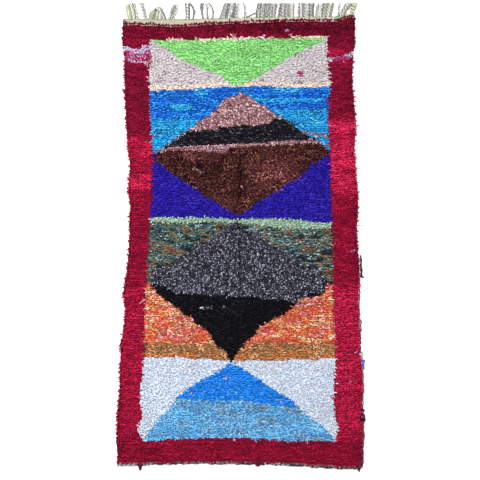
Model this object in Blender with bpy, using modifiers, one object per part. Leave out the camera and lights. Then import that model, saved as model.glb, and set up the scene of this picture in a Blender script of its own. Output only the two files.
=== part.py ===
"""Boucherouite rug, lying flat: a knotted rag-pile rug woven in one piece, with free warp ends at one end.

X runs across the rug, Y along it towards the fringe, Z up from the surface that it lies on.
"""
import math

import bmesh
import bpy

# Driving dimensions, in metres.
PILE_TOP = 0.020          # top of the pile above the floor
WEB_THICK = 0.004         # bare woven ground, as at the two ends
WEB_INSET = 0.009         # how far the ground stands back from the pile along the sides
WEB_OVERLAP = 0.040       # how far the bare ground runs in under the pile at each end
TWISTED_END = 0.013       # depth of the twisted finish past the pile at the plain end
PILE_EDGE_SOFTNESS = 0.006
TUFT_STEP = 0.025         # spacing of the tufts that notch the outline
TUFT_NOTCH = 0.0028       # how deep they notch it
FRINGE_GAP = 0.0003       # clearance between the fringe and the cloth
FRINGE_THICK = 0.005
FRINGE_SPINE = 0.004      # depth of the row of knots that the warp ends leave from
BUNCH_TAPER = 0.75        # a bunch's width at its free end, as a share of its width at the root

# The pile's two long sides. Columns: along (distance from the rug's middle), left edge, right edge.
SIDES = (
    (-1.150, -0.650, 0.650),
    (-1.050, -0.660, 0.656),
    (-0.945, -0.653, 0.648),
    (-0.840, -0.643, 0.652),
    (-0.735, -0.643, 0.651),
    (-0.625, -0.638, 0.636),
    (-0.520, -0.627, 0.634),
    (-0.415, -0.613, 0.630),
    (-0.310, -0.624, 0.630),
    (-0.205, -0.607, 0.635),
    (-0.095, -0.597, 0.630),
    (0.010, -0.591, 0.620),
    (0.115, -0.590, 0.625),
    (0.170, -0.586, 0.630),
    (0.275, -0.600, 0.624),
    (0.380, -0.586, 0.613),
    (0.485, -0.600, 0.608),
    (0.590, -0.606, 0.618),
    (0.700, -0.612, 0.609),
    (0.805, -0.617, 0.598),
    (0.910, -0.617, 0.598),
    (1.015, -0.618, 0.608),
    (1.070, -0.626, 0.612),
)

# The two ends. Columns: across, end of the pile at the plain end, end of the pile at the fringe end,
# end of the woven band at the fringe end.
ENDS = (
    (-0.610, -1.208, 1.126, 1.154),
    (-0.495, -1.207, 1.122, 1.156),
    (-0.330, -1.204, 1.113, 1.153),
    (-0.185, -1.202, 1.127, 1.156),
    (-0.020, -1.200, 1.133, 1.161),
    (0.130, -1.205, 1.139, 1.164),
    (0.265, -1.208, 1.143, 1.166),
    (0.425, -1.219, 1.144, 1.167),
    (0.525, -1.225, 1.144, 1.169),
    (0.555, -1.227, 1.163, 1.180),
    (0.600, -1.230, 1.165, 1.182),
)

# The free warp ends, in runs of like bunches. Columns: first and last bunch's place across, number of
# bunches, sideways lean of the first and last, length of the first and last, width of a bunch.
FRINGE_RUNS = (
    (-0.594, -0.548, 3, -0.012, -0.030, 0.058, 0.070, 0.015),
    (-0.498, -0.498, 1, -0.026, -0.026, 0.066, 0.066, 0.013),
    (-0.455, -0.413, 3, 0.002, -0.010, 0.036, 0.044, 0.014),
    (-0.369, -0.346, 2, 0.021, 0.014, 0.062, 0.060, 0.014),
    (-0.286, -0.257, 2, 0.006, -0.012, 0.070, 0.058, 0.013),
    (-0.204, -0.146, 3, 0.002, -0.010, 0.069, 0.066, 0.011),
    (-0.106, 0.034, 7, 0.026, -0.014, 0.068, 0.068, 0.016),
    (0.050, 0.050, 1, 0.016, 0.016, 0.024, 0.024, 0.008),
    (0.088, 0.296, 10, 0.002, 0.004, 0.066, 0.065, 0.018),
    (0.314, 0.388, 4, 0.002, 0.006, 0.065, 0.064, 0.018),
    (0.412, 0.490, 4, 0.002, 0.006, 0.064, 0.062, 0.018),
    (0.514, 0.514, 1, 0.016, 0.016, 0.062, 0.062, 0.012),
    (0.546, 0.588, 3, 0.028, 0.034, 0.050, 0.048, 0.013),
)


def interpolate(table, at, column):
    """A column of a table, read at a value of its first column, in straight lines between the rows."""
    if at <= table[0][0]:
        return table[0][column]
    for low, high in zip(table, table[1:]):
        if at <= high[0]:
            share = (at - low[0]) / (high[0] - low[0])
            return low[column] + share * (high[column] - low[column])
    return table[-1][column]


def tuft_notch(number):
    """How far the pile's edge stands out or in at one tuft."""
    return TUFT_NOTCH * (0.6 * math.sin(2.3 * number) + 0.4 * math.sin(5.1 * number + 1.0))


def steps_between(first, last):
    """Evenly spaced places from first up to but not including last, about a tuft apart."""
    count = round(abs(last - first) / TUFT_STEP)
    return [first + (last - first) * i / count for i in range(count)]


def pile_outline():
    """The pile's outline, anticlockwise from the left corner of the plain end."""
    left_low = interpolate(SIDES, -1.15, 1)
    right_low = interpolate(SIDES, -1.15, 2)
    left_high = interpolate(SIDES, 1.07, 1)
    right_high = interpolate(SIDES, 1.07, 2)
    plain_left = interpolate(ENDS, left_low, 1)
    plain_right = interpolate(ENDS, right_low, 1)
    fringe_left = interpolate(ENDS, left_high, 2)
    fringe_right = interpolate(ENDS, right_high, 2)
    outline = []
    for x in steps_between(left_low, right_low):
        outline.append((x, interpolate(ENDS, x, 1) - tuft_notch(len(outline))))
    for y in steps_between(plain_right, fringe_right):
        outline.append((interpolate(SIDES, y, 2) + tuft_notch(len(outline)), y))
    for x in steps_between(right_high, left_high):
        outline.append((x, interpolate(ENDS, x, 2) + tuft_notch(len(outline))))
    for y in steps_between(fringe_left, plain_left):
        outline.append((interpolate(SIDES, y, 1) - tuft_notch(len(outline)), y))
    return outline


def band_outline(inner, outer, column, beyond):
    """A strip of bare ground at one end, from under the pile (inner) out to a column of ENDS plus beyond."""
    left = interpolate(SIDES, inner, 1) + WEB_INSET
    right = interpolate(SIDES, inner, 2) - WEB_INSET
    middles = [row[0] for row in ENDS if left < row[0] < right]
    far = [(x, interpolate(ENDS, x, column) + beyond) for x in [left, *middles, right]]
    near = [(left, outer), (right, outer)]
    return near + far[::-1] if beyond >= 0 else near[::-1] + far


def fringe_bunches():
    """(place across, lean, length, width) of each bunch of warp ends, from left to right."""
    bunches = []
    for first, last, count, lean_a, lean_b, length_a, length_b, width in FRINGE_RUNS:
        for i in range(count):
            share = i / max(count - 1, 1)
            bunches.append(
                (
                    first + share * (last - first),
                    lean_a + share * (lean_b - lean_a),
                    length_a + share * (length_b - length_a),
                    width,
                )
            )
    return bunches


def fringe_outline():
    """The comb of warp ends: a spine along the end band, and a slanted tooth for each bunch."""
    bunches = fringe_bunches()
    left = bunches[0][0] - bunches[0][3]
    right = bunches[-1][0] + bunches[-1][3] / 2
    base = [(left, 3), *[(row[0], 3) for row in ENDS if left < row[0] < right], (right, 3)]
    outline = [(x, interpolate(ENDS, x, column) + FRINGE_GAP) for x, column in base]
    teeth = []
    for x, lean, length, width in bunches:
        root = interpolate(ENDS, x, 3) + FRINGE_GAP + FRINGE_SPINE
        taper = BUNCH_TAPER * width
        teeth.append((x - width / 2, root))
        teeth.append((x + 0.55 * lean - taper / 2, root + 0.5 * length))
        teeth.append((x + lean - taper / 2, root + length))
        teeth.append((x + lean + taper / 2, root + length))
        teeth.append((x + 0.55 * lean + taper / 2, root + 0.5 * length))
        teeth.append((x + width / 2, root))
    return outline + teeth[::-1]


def slab(name, outline, thickness, collection):
    """A flat mesh object with this outline, standing on Z = 0."""
    curve = bpy.data.curves.new(name + "_outline", "CURVE")
    curve.dimensions = "2D"
    curve.fill_mode = "BOTH"
    curve.extrude = thickness / 2
    spline = curve.splines.new("POLY")
    spline.points.add(len(outline) - 1)
    for point, (x, y) in zip(spline.points, outline):
        point.co = (x, y, 0.0, 1.0)
    spline.use_cyclic_u = True
    shape = bpy.data.objects.new(name + "_outline", curve)
    collection.objects.link(shape)
    bpy.context.view_layer.update()
    graph = bpy.context.evaluated_depsgraph_get()
    mesh = bpy.data.meshes.new_from_object(shape.evaluated_get(graph))
    bpy.data.objects.remove(shape)
    bpy.data.curves.remove(curve)
    mesh.name = name
    sheet = bmesh.new()
    sheet.from_mesh(mesh)
    bmesh.ops.remove_doubles(sheet, verts=sheet.verts, dist=1e-6)
    bmesh.ops.recalc_face_normals(sheet, faces=sheet.faces)
    for side in (-1, 1):
        cap = [face for face in sheet.faces if face.normal.z * side > 0.9]
        bmesh.ops.dissolve_faces(sheet, faces=cap)
    bmesh.ops.translate(sheet, verts=sheet.verts, vec=(0.0, 0.0, thickness / 2))
    sheet.to_mesh(mesh)
    sheet.free()
    piece = bpy.data.objects.new(name, mesh)
    collection.objects.link(piece)
    return piece


def soften(piece, width, segments):
    """Rounds the upper and lower edges."""
    bevel = piece.modifiers.new("soft_edges", "BEVEL")
    bevel.width = width
    bevel.segments = segments
    bevel.limit_method = "ANGLE"
    bevel.angle_limit = math.radians(75)


def weave_in(piece, strip):
    """Makes a strip of bare ground one solid with the piled cloth."""
    join = piece.modifiers.new(strip.name, "BOOLEAN")
    join.operation = "UNION"
    join.solver = "EXACT"
    join.object = strip
    strip.hide_render = True
    strip.display_type = "WIRE"


def dress(piece, name, colour, roughness):
    """Gives the piece its own material."""
    material = bpy.data.materials.new(name)
    material.use_nodes = True
    shader = material.node_tree.nodes["Principled BSDF"]
    shader.inputs["Base Color"].default_value = (*colour, 1.0)
    shader.inputs["Roughness"].default_value = roughness
    shader.inputs["Metallic"].default_value = 0.0
    piece.data.materials.append(material)


def centre(pieces):
    """Moves the meshes so that the origin is under the middle of their common box."""
    bpy.context.view_layer.update()
    graph = bpy.context.evaluated_depsgraph_get()
    points = []
    for piece in pieces:
        if not piece.hide_render:
            points += [vertex.co.copy() for vertex in piece.evaluated_get(graph).data.vertices]
    across = [point.x for point in points]
    along = [point.y for point in points]
    middle = ((min(across) + max(across)) / 2, (min(along) + max(along)) / 2)
    for piece in pieces:
        for vertex in piece.data.vertices:
            vertex.co.x -= middle[0]
            vertex.co.y -= middle[1]


def main():
    """Builds the rug."""
    for thing in list(bpy.data.objects):
        bpy.data.objects.remove(thing)
    rug_parts = bpy.data.collections.new("boucherouite_rug")
    strips = bpy.data.collections.new("joined_strips")
    bpy.context.scene.collection.children.link(rug_parts)
    bpy.context.scene.collection.children.link(strips)

    rug = slab("rug", pile_outline(), PILE_TOP, rug_parts)
    soften(rug, PILE_EDGE_SOFTNESS, 2)
    fringe_in = ENDS[0][2] - WEB_OVERLAP
    plain_in = ENDS[0][1] + WEB_OVERLAP
    fringe_band = slab("fringe_band", band_outline(fringe_in, fringe_in, 3, 0.0), WEB_THICK, strips)
    plain_band = slab("plain_band", band_outline(plain_in, plain_in, 1, -TWISTED_END), WEB_THICK, strips)
    weave_in(rug, fringe_band)
    weave_in(rug, plain_band)
    dress(rug, "rag_pile", (0.33, 0.02, 0.05), 0.95)

    fringe = slab("warp_fringe", fringe_outline(), FRINGE_THICK, rug_parts)
    dress(fringe, "warp_yarn", (0.62, 0.62, 0.58), 0.9)

    centre([rug, fringe_band, plain_band, fringe])


if __name__ == "__main__":
    main()
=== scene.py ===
"""The looks of a boucherouite rug: rag pile knotted in a pattern of bands and diamonds, and a warp fringe.

The rug lies flat. X runs across it, Y along it towards the fringe and Z up. Sizes are in metres. The design
is laid out by two measures: across, from the middle of the rug, and along, from its plain end.
"""
import logging
import math
from dataclasses import dataclass, field
from enum import Enum
from typing import Any, Callable

import bpy
import numpy as np
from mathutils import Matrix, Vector


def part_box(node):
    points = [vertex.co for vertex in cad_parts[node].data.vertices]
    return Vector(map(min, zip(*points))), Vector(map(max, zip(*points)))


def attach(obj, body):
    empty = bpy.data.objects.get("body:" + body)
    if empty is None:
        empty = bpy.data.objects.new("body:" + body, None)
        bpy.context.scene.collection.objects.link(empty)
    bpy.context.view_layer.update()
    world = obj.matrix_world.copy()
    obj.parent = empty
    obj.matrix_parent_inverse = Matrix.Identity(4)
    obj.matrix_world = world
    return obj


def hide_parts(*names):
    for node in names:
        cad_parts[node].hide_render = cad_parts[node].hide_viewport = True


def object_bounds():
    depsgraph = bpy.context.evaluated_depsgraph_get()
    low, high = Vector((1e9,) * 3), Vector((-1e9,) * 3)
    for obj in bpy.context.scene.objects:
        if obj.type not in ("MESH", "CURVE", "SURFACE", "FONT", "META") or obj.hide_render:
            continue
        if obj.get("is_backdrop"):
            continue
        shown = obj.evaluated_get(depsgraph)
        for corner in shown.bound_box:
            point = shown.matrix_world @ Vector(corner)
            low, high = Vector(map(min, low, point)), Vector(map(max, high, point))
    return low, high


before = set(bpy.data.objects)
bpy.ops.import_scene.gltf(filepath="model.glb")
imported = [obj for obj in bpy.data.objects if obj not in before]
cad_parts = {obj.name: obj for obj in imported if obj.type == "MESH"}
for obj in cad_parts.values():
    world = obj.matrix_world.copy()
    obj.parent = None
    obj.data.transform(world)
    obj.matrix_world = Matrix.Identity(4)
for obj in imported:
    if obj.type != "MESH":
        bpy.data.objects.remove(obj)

LOG = logging.getLogger("boucherouite_rug")
BODY = "root"

Array = np.ndarray
Rgb = tuple[float, float, float]
Chance = np.random.Generator
Piece = bpy.types.Object
Material = bpy.types.Material


# --- the design

class Lot(Enum):
    """The lots of rag yarn in the pile, named for their colour or their place."""

    LEFT_BORDER = "left_border"
    RIGHT_BORDER = "right_border"
    PLAIN_BORDER = "plain_end_border"
    FRINGE_BORDER = "fringe_end_border"
    LILAC = "lilac"
    MAGENTA = "magenta"
    LIME = "lime"
    BLUSH = "blush"
    PEACH = "peach"
    AZURE = "azure"
    CYAN = "cyan"
    MAUVE = "mauve"
    COAL = "coal"
    ROSE = "rose"
    BROWN = "brown"
    INDIGO = "indigo"
    MINT = "mint"
    MELANGE = "melange"
    TWEED = "tweed"
    BLACK = "black"
    EMBER = "ember"
    OLIVE = "olive"
    RUST = "rust"
    WHITE = "white"
    COBALT = "cobalt"
    SKY = "sky"

    @property
    def number(self) -> int:
        """Gives the lot's place in LOTS."""
        return LOTS.index(self)


LOTS = list(Lot)

# The inner edges of the border along the sides. Columns: along, left edge, right edge.
FIELD_SIDES = (
    (0.156, -0.514, 0.506), (0.215, -0.541, 0.527), (0.278, -0.517, 0.509), (0.347, -0.526, 0.501),
    (0.427, -0.526, 0.503), (0.522, -0.514, 0.506), (0.596, -0.506, 0.509), (0.803, -0.505, 0.503),
    (0.957, -0.496, 0.498), (1.089, -0.488, 0.496), (1.195, -0.482, 0.496), (1.317, -0.477, 0.493),
    (1.434, -0.466, 0.485), (1.619, -0.461, 0.482), (1.699, -0.461, 0.477), (1.858, -0.470, 0.472),
    (1.964, -0.480, 0.472), (2.043, -0.480, 0.485), (2.176, -0.474, 0.466), (2.292, -0.473, 0.465),
)

# The inner edges of the border at the ends. Columns: across, at the plain end, at the fringe end.
FIELD_ENDS = (
    (-0.514, 0.154, 2.283), (-0.358, 0.162, 2.285), (-0.172, 0.170, 2.288), (-0.024, 0.170, 2.291),
    (0.114, 0.162, 2.294), (0.347, 0.154, 2.299), (0.506, 0.151, 2.302),
)

# Where the ground changes. Columns: across, then along for the lower edge of blush, of indigo and of mint,
# the upper and lower edges of olive, and the upper edge of white.
BANDS = (
    (-0.480, 2.014, 1.342, 1.318, 0.674, 0.625, 0.598),
    (-0.321, 2.017, 1.342, 1.313, 0.673, 0.625, 0.599),
    (-0.140, 2.034, 1.340, 1.316, 0.670, 0.623, 0.588),
    (-0.013, 2.029, 1.332, 1.313, 0.670, 0.623, 0.576),
    (0.056, 2.035, 1.337, 1.307, 0.673, 0.628, 0.579),
    (0.167, 2.034, 1.335, 1.291, 0.676, 0.633, 0.582),
    (0.305, 2.030, 1.331, 1.283, 0.677, 0.636, 0.586),
    (0.400, 2.029, 1.318, 1.283, 0.677, 0.636, 0.588),
    (0.490, 2.038, 1.314, 1.283, 0.677, 0.636, 0.594),
)
AZURE_END = 1.680         # along: azure above, indigo below
MELANGE_END = 0.985       # along: melange above, ember below
PEACH_DEPTH = 0.026       # the blush ground's last rows, along its lower edge
TOP_LINE = 0.006          # the peach line above the lime triangle

# The figures. Columns: along, left edge, right edge.
LIME_TRIANGLE = (
    (2.042, -0.003, 0.005), (2.056, -0.066, 0.029), (2.078, -0.080, 0.087), (2.098, -0.098, 0.119),
    (2.115, -0.160, 0.148), (2.141, -0.211, 0.188), (2.170, -0.295, 0.236), (2.207, -0.355, 0.299),
    (2.234, -0.380, 0.350), (2.256, -0.428, 0.400), (2.276, -0.464, 0.440), (2.292, -0.470, 0.462),
)
UPPER_DIAMOND = (
    (1.354, -0.007, 0.004), (1.370, -0.037, 0.020), (1.387, -0.070, 0.061), (1.421, -0.119, 0.096),
    (1.455, -0.188, 0.151), (1.484, -0.215, 0.207), (1.516, -0.262, 0.241), (1.536, -0.302, 0.290),
    (1.574, -0.355, 0.339), (1.612, -0.408, 0.374), (1.643, -0.448, 0.429), (1.672, -0.453, 0.477),
    (1.693, -0.435, 0.477), (1.716, -0.398, 0.456), (1.746, -0.363, 0.429), (1.764, -0.337, 0.387),
    (1.789, -0.299, 0.346), (1.816, -0.250, 0.307), (1.835, -0.229, 0.290), (1.866, -0.195, 0.235),
    (1.889, -0.160, 0.193), (1.906, -0.129, 0.170), (1.934, -0.112, 0.127), (1.958, -0.091, 0.087),
    (1.972, -0.077, 0.069), (1.983, -0.029, 0.053), (1.998, -0.005, 0.024), (2.009, 0.003, 0.011),
)
LOWER_DIAMOND = (
    (0.575, -0.044, -0.040), (0.594, -0.056, -0.029), (0.623, -0.070, -0.016), (0.643, -0.098, 0.003),
    (0.677, -0.133, 0.034), (0.702, -0.146, 0.064), (0.719, -0.153, 0.082), (0.754, -0.188, 0.098),
    (0.774, -0.229, 0.130), (0.809, -0.250, 0.200), (0.830, -0.299, 0.241), (0.864, -0.333, 0.281),
    (0.893, -0.382, 0.318), (0.914, -0.408, 0.350), (0.926, -0.425, 0.421), (0.951, -0.444, 0.456),
    (0.988, -0.472, 0.469), (1.060, -0.472, 0.432), (1.084, -0.395, 0.339), (1.116, -0.326, 0.305),
    (1.152, -0.284, 0.262), (1.172, -0.241, 0.220), (1.190, -0.225, 0.179), (1.211, -0.215, 0.159),
    (1.228, -0.125, 0.130), (1.262, -0.098, 0.082), (1.291, -0.070, 0.027), (1.312, -0.032, 0.006),
    (1.324, -0.013, -0.008),
)
BLUE_TRIANGLE = (
    (0.150, -0.511, 0.506), (0.174, -0.499, 0.496), (0.221, -0.464, 0.458), (0.269, -0.432, 0.392),
    (0.300, -0.395, 0.356), (0.343, -0.358, 0.310), (0.381, -0.337, 0.265), (0.427, -0.282, 0.191),
    (0.457, -0.235, 0.143), (0.477, -0.207, 0.112), (0.513, -0.133, 0.061), (0.540, -0.093, 0.021),
    (0.569, -0.050, -0.040),
)

# How the upper diamond is divided. Columns: across, lower edge of mauve, of coal and of rose.
UPPER_ROWS = (
    (-0.421, 1.699, 1.699, 1.688), (-0.390, 1.720, 1.712, 1.696), (-0.278, 1.797, 1.720, 1.702),
    (-0.231, 1.803, 1.723, 1.696), (-0.125, 1.806, 1.726, 1.685), (-0.109, 1.821, 1.727, 1.686),
    (-0.029, 1.827, 1.731, 1.715), (0.061, 1.828, 1.735, 1.720), (0.167, 1.837, 1.740, 1.724),
    (0.175, 1.860, 1.741, 1.725), (0.268, 1.868, 1.752, 1.730), (0.384, 1.868, 1.754, 1.737),
    (0.437, 1.868, 1.746, 1.736),
)

# Where tweed gives way to black in the lower diamond. Columns: across, along.
TWEED_END = (
    (-0.469, 0.988), (-0.390, 0.971), (-0.361, 0.944), (-0.215, 0.935),
    (-0.056, 0.923), (0.061, 0.923), (0.119, 0.909), (0.257, 0.902),
    (0.305, 0.881), (0.355, 0.905), (0.363, 0.936), (0.421, 0.936),
    (0.458, 0.955),
)

# Where cobalt gives way to sky blue. Columns: across, along.
COBALT_END = (
    (-0.337, 0.379), (-0.236, 0.375), (-0.024, 0.367), (0.114, 0.359),
    (0.188, 0.343), (0.310, 0.343),
)

# Light patches in the azure ground. Columns: from across, to across, from along, to along.
CYAN_PATCHES = (
    (-0.480, -0.100, 1.640, 1.862),
    (-0.376, -0.250, 1.910, 1.946),
    (0.085, 0.500, 1.640, 1.918),
    (0.080, 0.460, 1.956, 1.972),
)

# Single knots and short runs of another lot. Columns: lot, middle across, middle along, half width,
# half depth, slant.
FLECKS = (
    (Lot.LILAC, -0.590, 2.234, 0.036, 0.011, -0.35),
    (Lot.LILAC, -0.530, 2.222, 0.034, 0.011, 0.10),
    (Lot.LILAC, -0.492, 2.240, 0.022, 0.016, 0.30),
    (Lot.LILAC, -0.575, 2.176, 0.022, 0.010, -0.20),
    (Lot.LILAC, -0.512, 2.164, 0.024, 0.009, -0.30),
    (Lot.LILAC, 0.500, 2.184, 0.026, 0.009, 0.20),
    (Lot.LILAC, 0.580, 2.198, 0.032, 0.013, 0.45),
    (Lot.MAGENTA, -0.548, 2.196, 0.062, 0.014, 0.05),
    (Lot.MAGENTA, -0.486, 2.214, 0.018, 0.012, 0.00),
    (Lot.MAGENTA, 0.540, 2.186, 0.040, 0.008, 0.20),
    (Lot.MAGENTA, 0.324, 2.100, 0.014, 0.012, 0.00),
    (Lot.LILAC, 0.252, 2.334, 0.007, 0.006, 0.00),
    (Lot.LILAC, 0.273, 2.313, 0.007, 0.006, 0.00),
    (Lot.LILAC, 0.130, 2.305, 0.007, 0.006, 0.00),
    (Lot.LILAC, -0.071, 0.495, 0.006, 0.007, 0.00),
    (Lot.LILAC, -0.251, 0.415, 0.006, 0.006, 0.00),
    (Lot.LILAC, 0.220, 0.357, 0.007, 0.006, 0.00),
    (Lot.LILAC, -0.029, 0.166, 0.007, 0.006, 0.00),
    (Lot.LILAC, 0.620, 0.626, 0.006, 0.006, 0.00),
    (Lot.MAGENTA, 0.594, 0.480, 0.014, 0.006, 0.00),
    (Lot.MAGENTA, 0.604, 1.165, 0.018, 0.006, 0.00),
    (Lot.MAUVE, -0.315, 2.060, 0.008, 0.006, 0.00),
    (Lot.MAUVE, -0.257, 2.054, 0.010, 0.006, 0.00),
    (Lot.MAUVE, 0.125, 2.070, 0.008, 0.006, 0.00),
    (Lot.TWEED, 0.306, 2.064, 0.018, 0.005, 0.00),
    (Lot.PEACH, -0.028, 2.303, 0.008, 0.008, 0.00),
    (Lot.MAUVE, 0.400, 1.783, 0.070, 0.006, -0.15),
    (Lot.MAUVE, -0.241, 1.603, 0.008, 0.008, 0.00),
    (Lot.MAUVE, -0.209, 1.582, 0.008, 0.007, 0.00),
    (Lot.MAUVE, 0.225, 1.566, 0.009, 0.007, 0.00),
    (Lot.MAUVE, 0.019, 1.497, 0.007, 0.007, 0.00),
    (Lot.MAUVE, 0.199, 1.555, 0.007, 0.006, 0.00),
    (Lot.BLUSH, -0.190, 0.862, 0.010, 0.005, 0.00),
    (Lot.TWEED, -0.168, 0.866, 0.024, 0.007, 0.00),
    (Lot.TWEED, -0.076, 0.862, 0.016, 0.008, 0.00),
    (Lot.BLUSH, -0.082, 0.870, 0.007, 0.005, 0.00),
)

# Patches of a lot that are lighter or darker. The same columns, with the change of tone for the slant.
SHADES = (
    # painted shade: this row darkens the crease down the rug's middle
    (Lot.BROWN, 0.003, 1.558, 0.020, 0.150, -0.80),
    (Lot.BROWN, 0.172, 1.582, 0.150, 0.080, 1.00),
    (Lot.BROWN, -0.246, 1.662, 0.060, 0.024, 0.90),
    (Lot.BROWN, -0.050, 1.420, 0.080, 0.040, 0.50),
    (Lot.BROWN, -0.200, 1.600, 0.150, 0.060, -0.40),
    # painted shade: this row darkens the crease down the rug's middle
    (Lot.TWEED, 0.003, 1.150, 0.012, 0.160, -0.55),
    (Lot.TWEED, 0.010, 1.290, 0.050, 0.035, -0.35),
    (Lot.LIME, 0.060, 2.207, 0.090, 0.020, -0.18),
    (Lot.LIME, -0.220, 2.238, 0.050, 0.015, -0.12),
    (Lot.SKY, 0.100, 0.325, 0.070, 0.025, -0.22),
    (Lot.SKY, -0.180, 0.310, 0.050, 0.020, -0.10),
    (Lot.SKY, -0.370, 0.280, 0.060, 0.030, 0.12),
    (Lot.SKY, 0.430, 0.225, 0.050, 0.030, 0.08),
    (Lot.WHITE, 0.450, 0.320, 0.060, 0.050, -0.08),
    (Lot.WHITE, -0.470, 0.240, 0.050, 0.050, -0.06),
    (Lot.COBALT, 0.215, 0.384, 0.050, 0.020, -0.20),
    (Lot.CYAN, 0.436, 1.765, 0.050, 0.020, -0.30),
    (Lot.PLAIN_BORDER, -0.460, 0.095, 0.030, 0.020, -0.25),
    (Lot.PLAIN_BORDER, 0.560, 0.110, 0.060, 0.020, -0.20),
    (Lot.FRINGE_BORDER, 0.190, 2.345, 0.350, 0.030, -0.30),
    (Lot.FRINGE_BORDER, -0.430, 2.335, 0.140, 0.040, -0.05),
)

# How bright the red rags are. Columns: along, tone of the left border, tone of the right one.
RED_TONES = (
    (0.00, 0.53, 0.58), (0.08, 0.43, 0.54), (0.25, 0.55, 0.62), (0.60, 0.56, 0.66),
    (0.95, 0.54, 0.63), (1.00, 0.41, 0.43), (1.30, 0.41, 0.46), (1.46, 0.42, 0.46),
    (1.48, 0.42, 0.68), (1.50, 0.65, 0.66), (1.56, 0.65, 0.67), (1.58, 0.46, 0.67),
    (1.65, 0.52, 0.71), (1.67, 0.61, 0.73), (1.75, 0.63, 0.65), (1.78, 0.36, 0.55),
    (1.80, 0.36, 0.74), (1.85, 0.34, 0.72), (1.87, 0.34, 0.36), (2.14, 0.32, 0.36),
    (2.18, 0.56, 0.56), (2.22, 0.58, 0.56), (2.25, 0.36, 0.32), (2.40, 0.40, 0.32),
)
PLAIN_END_TONE = 0.42
FRINGE_END_TONE = 0.22


def column(table: tuple, at: Array, number: int) -> Array:
    """Reads a column of a table in straight lines between its rows.

    Args:
        table: rows, sorted by their first column.
        at: values of the first column.
        number: the column to read.

    Returns:
        The column's value at each place.
    """
    rows = np.array(table, float)
    return np.interp(at, rows[:, 0], rows[:, number])


@dataclass(frozen=True)
class Figure:
    """A triangle or diamond of the pattern, given by its left and right edges."""

    edges: tuple

    def holds(self, across: Array, along: Array) -> Array:
        """Says which places are inside the figure.

        Args:
            across: places across the rug.
            along: places along it.

        Returns:
            True for each place inside.
        """
        inside = (across > column(self.edges, along, 1)) & (across < column(self.edges, along, 2))
        return inside & (along > self.edges[0][0]) & (along < self.edges[-1][0])


@dataclass(frozen=True)
class Design:
    """The pattern: which lot of yarn each knot is tied from."""

    lime: Figure = Figure(LIME_TRIANGLE)
    upper: Figure = Figure(UPPER_DIAMOND)
    lower: Figure = Figure(LOWER_DIAMOND)
    blue: Figure = Figure(BLUE_TRIANGLE)

    def lots(self, across: Array, along: Array) -> Array:
        """Chooses a lot for every knot.

        Args:
            across: places across the rug.
            along: places along it.

        Returns:
            The number in LOTS of each knot's lot.
        """
        found = self.grounds(across, along)
        self.lay_figures(found, across, along)
        self.lay_border(found, across, along)
        return found

    def grounds(self, across: Array, along: Array) -> Array:
        """Lays the bands of ground, as lots() does for the whole.

        Args:
            across: places across the rug.
            along: places along it.

        Returns:
            The number in LOTS of each knot's lot.
        """
        ends = [column(BANDS, across, number) for number in range(1, 7)]
        blush, indigo, mint, olive_high, olive_low, white = ends
        found = np.full(len(across), Lot.WHITE.number)
        for lot, low in (
            (Lot.RUST, white),
            (Lot.OLIVE, olive_low),
            (Lot.EMBER, olive_high),
            (Lot.MELANGE, MELANGE_END),
            (Lot.MINT, mint),
            (Lot.INDIGO, indigo),
            (Lot.AZURE, AZURE_END),
            (Lot.PEACH, blush),
            (Lot.BLUSH, blush + PEACH_DEPTH),
            (Lot.PEACH, column(FIELD_ENDS, across, 2) - TOP_LINE),
        ):
            found[along > low] = lot.number
        azure = found == Lot.AZURE.number
        for left, right, low, high in CYAN_PATCHES:
            patch = azure & (across > left) & (across < right) & (along > low) & (along < high)
            found[patch] = Lot.CYAN.number
        return found

    def lay_figures(self, found: Array, across: Array, along: Array) -> None:
        """Lays the triangles and diamonds over the grounds.

        Args:
            found: the lots so far, which this changes.
            across: places across the rug.
            along: places along it.
        """
        below_line = along < column(FIELD_ENDS, across, 2) - TOP_LINE
        found[self.lime.holds(across, along) & below_line] = Lot.LIME.number
        upper = self.upper.holds(across, along)
        found[upper] = Lot.BROWN.number
        for lot, number in ((Lot.ROSE, 3), (Lot.COAL, 2), (Lot.MAUVE, 1)):
            found[upper & (along > column(UPPER_ROWS, across, number))] = lot.number
        lower = self.lower.holds(across, along)
        found[lower] = Lot.BLACK.number
        found[lower & (along > column(TWEED_END, across, 1))] = Lot.TWEED.number
        blue = self.blue.holds(across, along)
        found[blue] = Lot.SKY.number
        found[blue & (along > column(COBALT_END, across, 1))] = Lot.COBALT.number

    @staticmethod
    def shade(lots: Array, across: Array, along: Array) -> Array:
        """Gives how much lighter or darker than its lot each place is.

        Args:
            lots: the number in LOTS of each place's lot.
            across: places across the rug.
            along: places along it.

        Returns:
            The change, as a share.
        """
        found = np.zeros(len(across))
        for lot, middle, height, half, depth, change in SHADES:
            gap = ((across - middle) / half) ** 2 + ((along - height) / depth) ** 2
            found += change * np.exp(-gap) * (lots == lot.number)
        return found

    def lay_border(self, found: Array, across: Array, along: Array) -> None:
        """Lays the red border round the field, and the flecks.

        Args:
            found: the lots so far, which this changes.
            across: places across the rug.
            along: places along it.
        """
        left = across < column(FIELD_SIDES, along, 1)
        right = across > column(FIELD_SIDES, along, 2)
        found[left] = Lot.LEFT_BORDER.number
        found[right] = Lot.RIGHT_BORDER.number
        found[along < column(FIELD_ENDS, across, 1)] = Lot.PLAIN_BORDER.number
        found[along > column(FIELD_ENDS, across, 2)] = Lot.FRINGE_BORDER.number
        for lot, middle, height, half, depth, slant in FLECKS:
            offset = across - middle
            fleck = (np.abs(offset) < half) & (np.abs(along - height - slant * offset) < depth)
            found[fleck] = lot.number


# --- shaders

def linear(colour: Rgb) -> Rgb:
    """Turns a colour in 0 to 255, as the eye grades it, into the shader's linear scale."""
    parts = [value / 255 for value in colour]
    return tuple(v / 12.92 if v <= 0.04045 else ((v + 0.055) / 1.055) ** 2.4 for v in parts)


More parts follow.
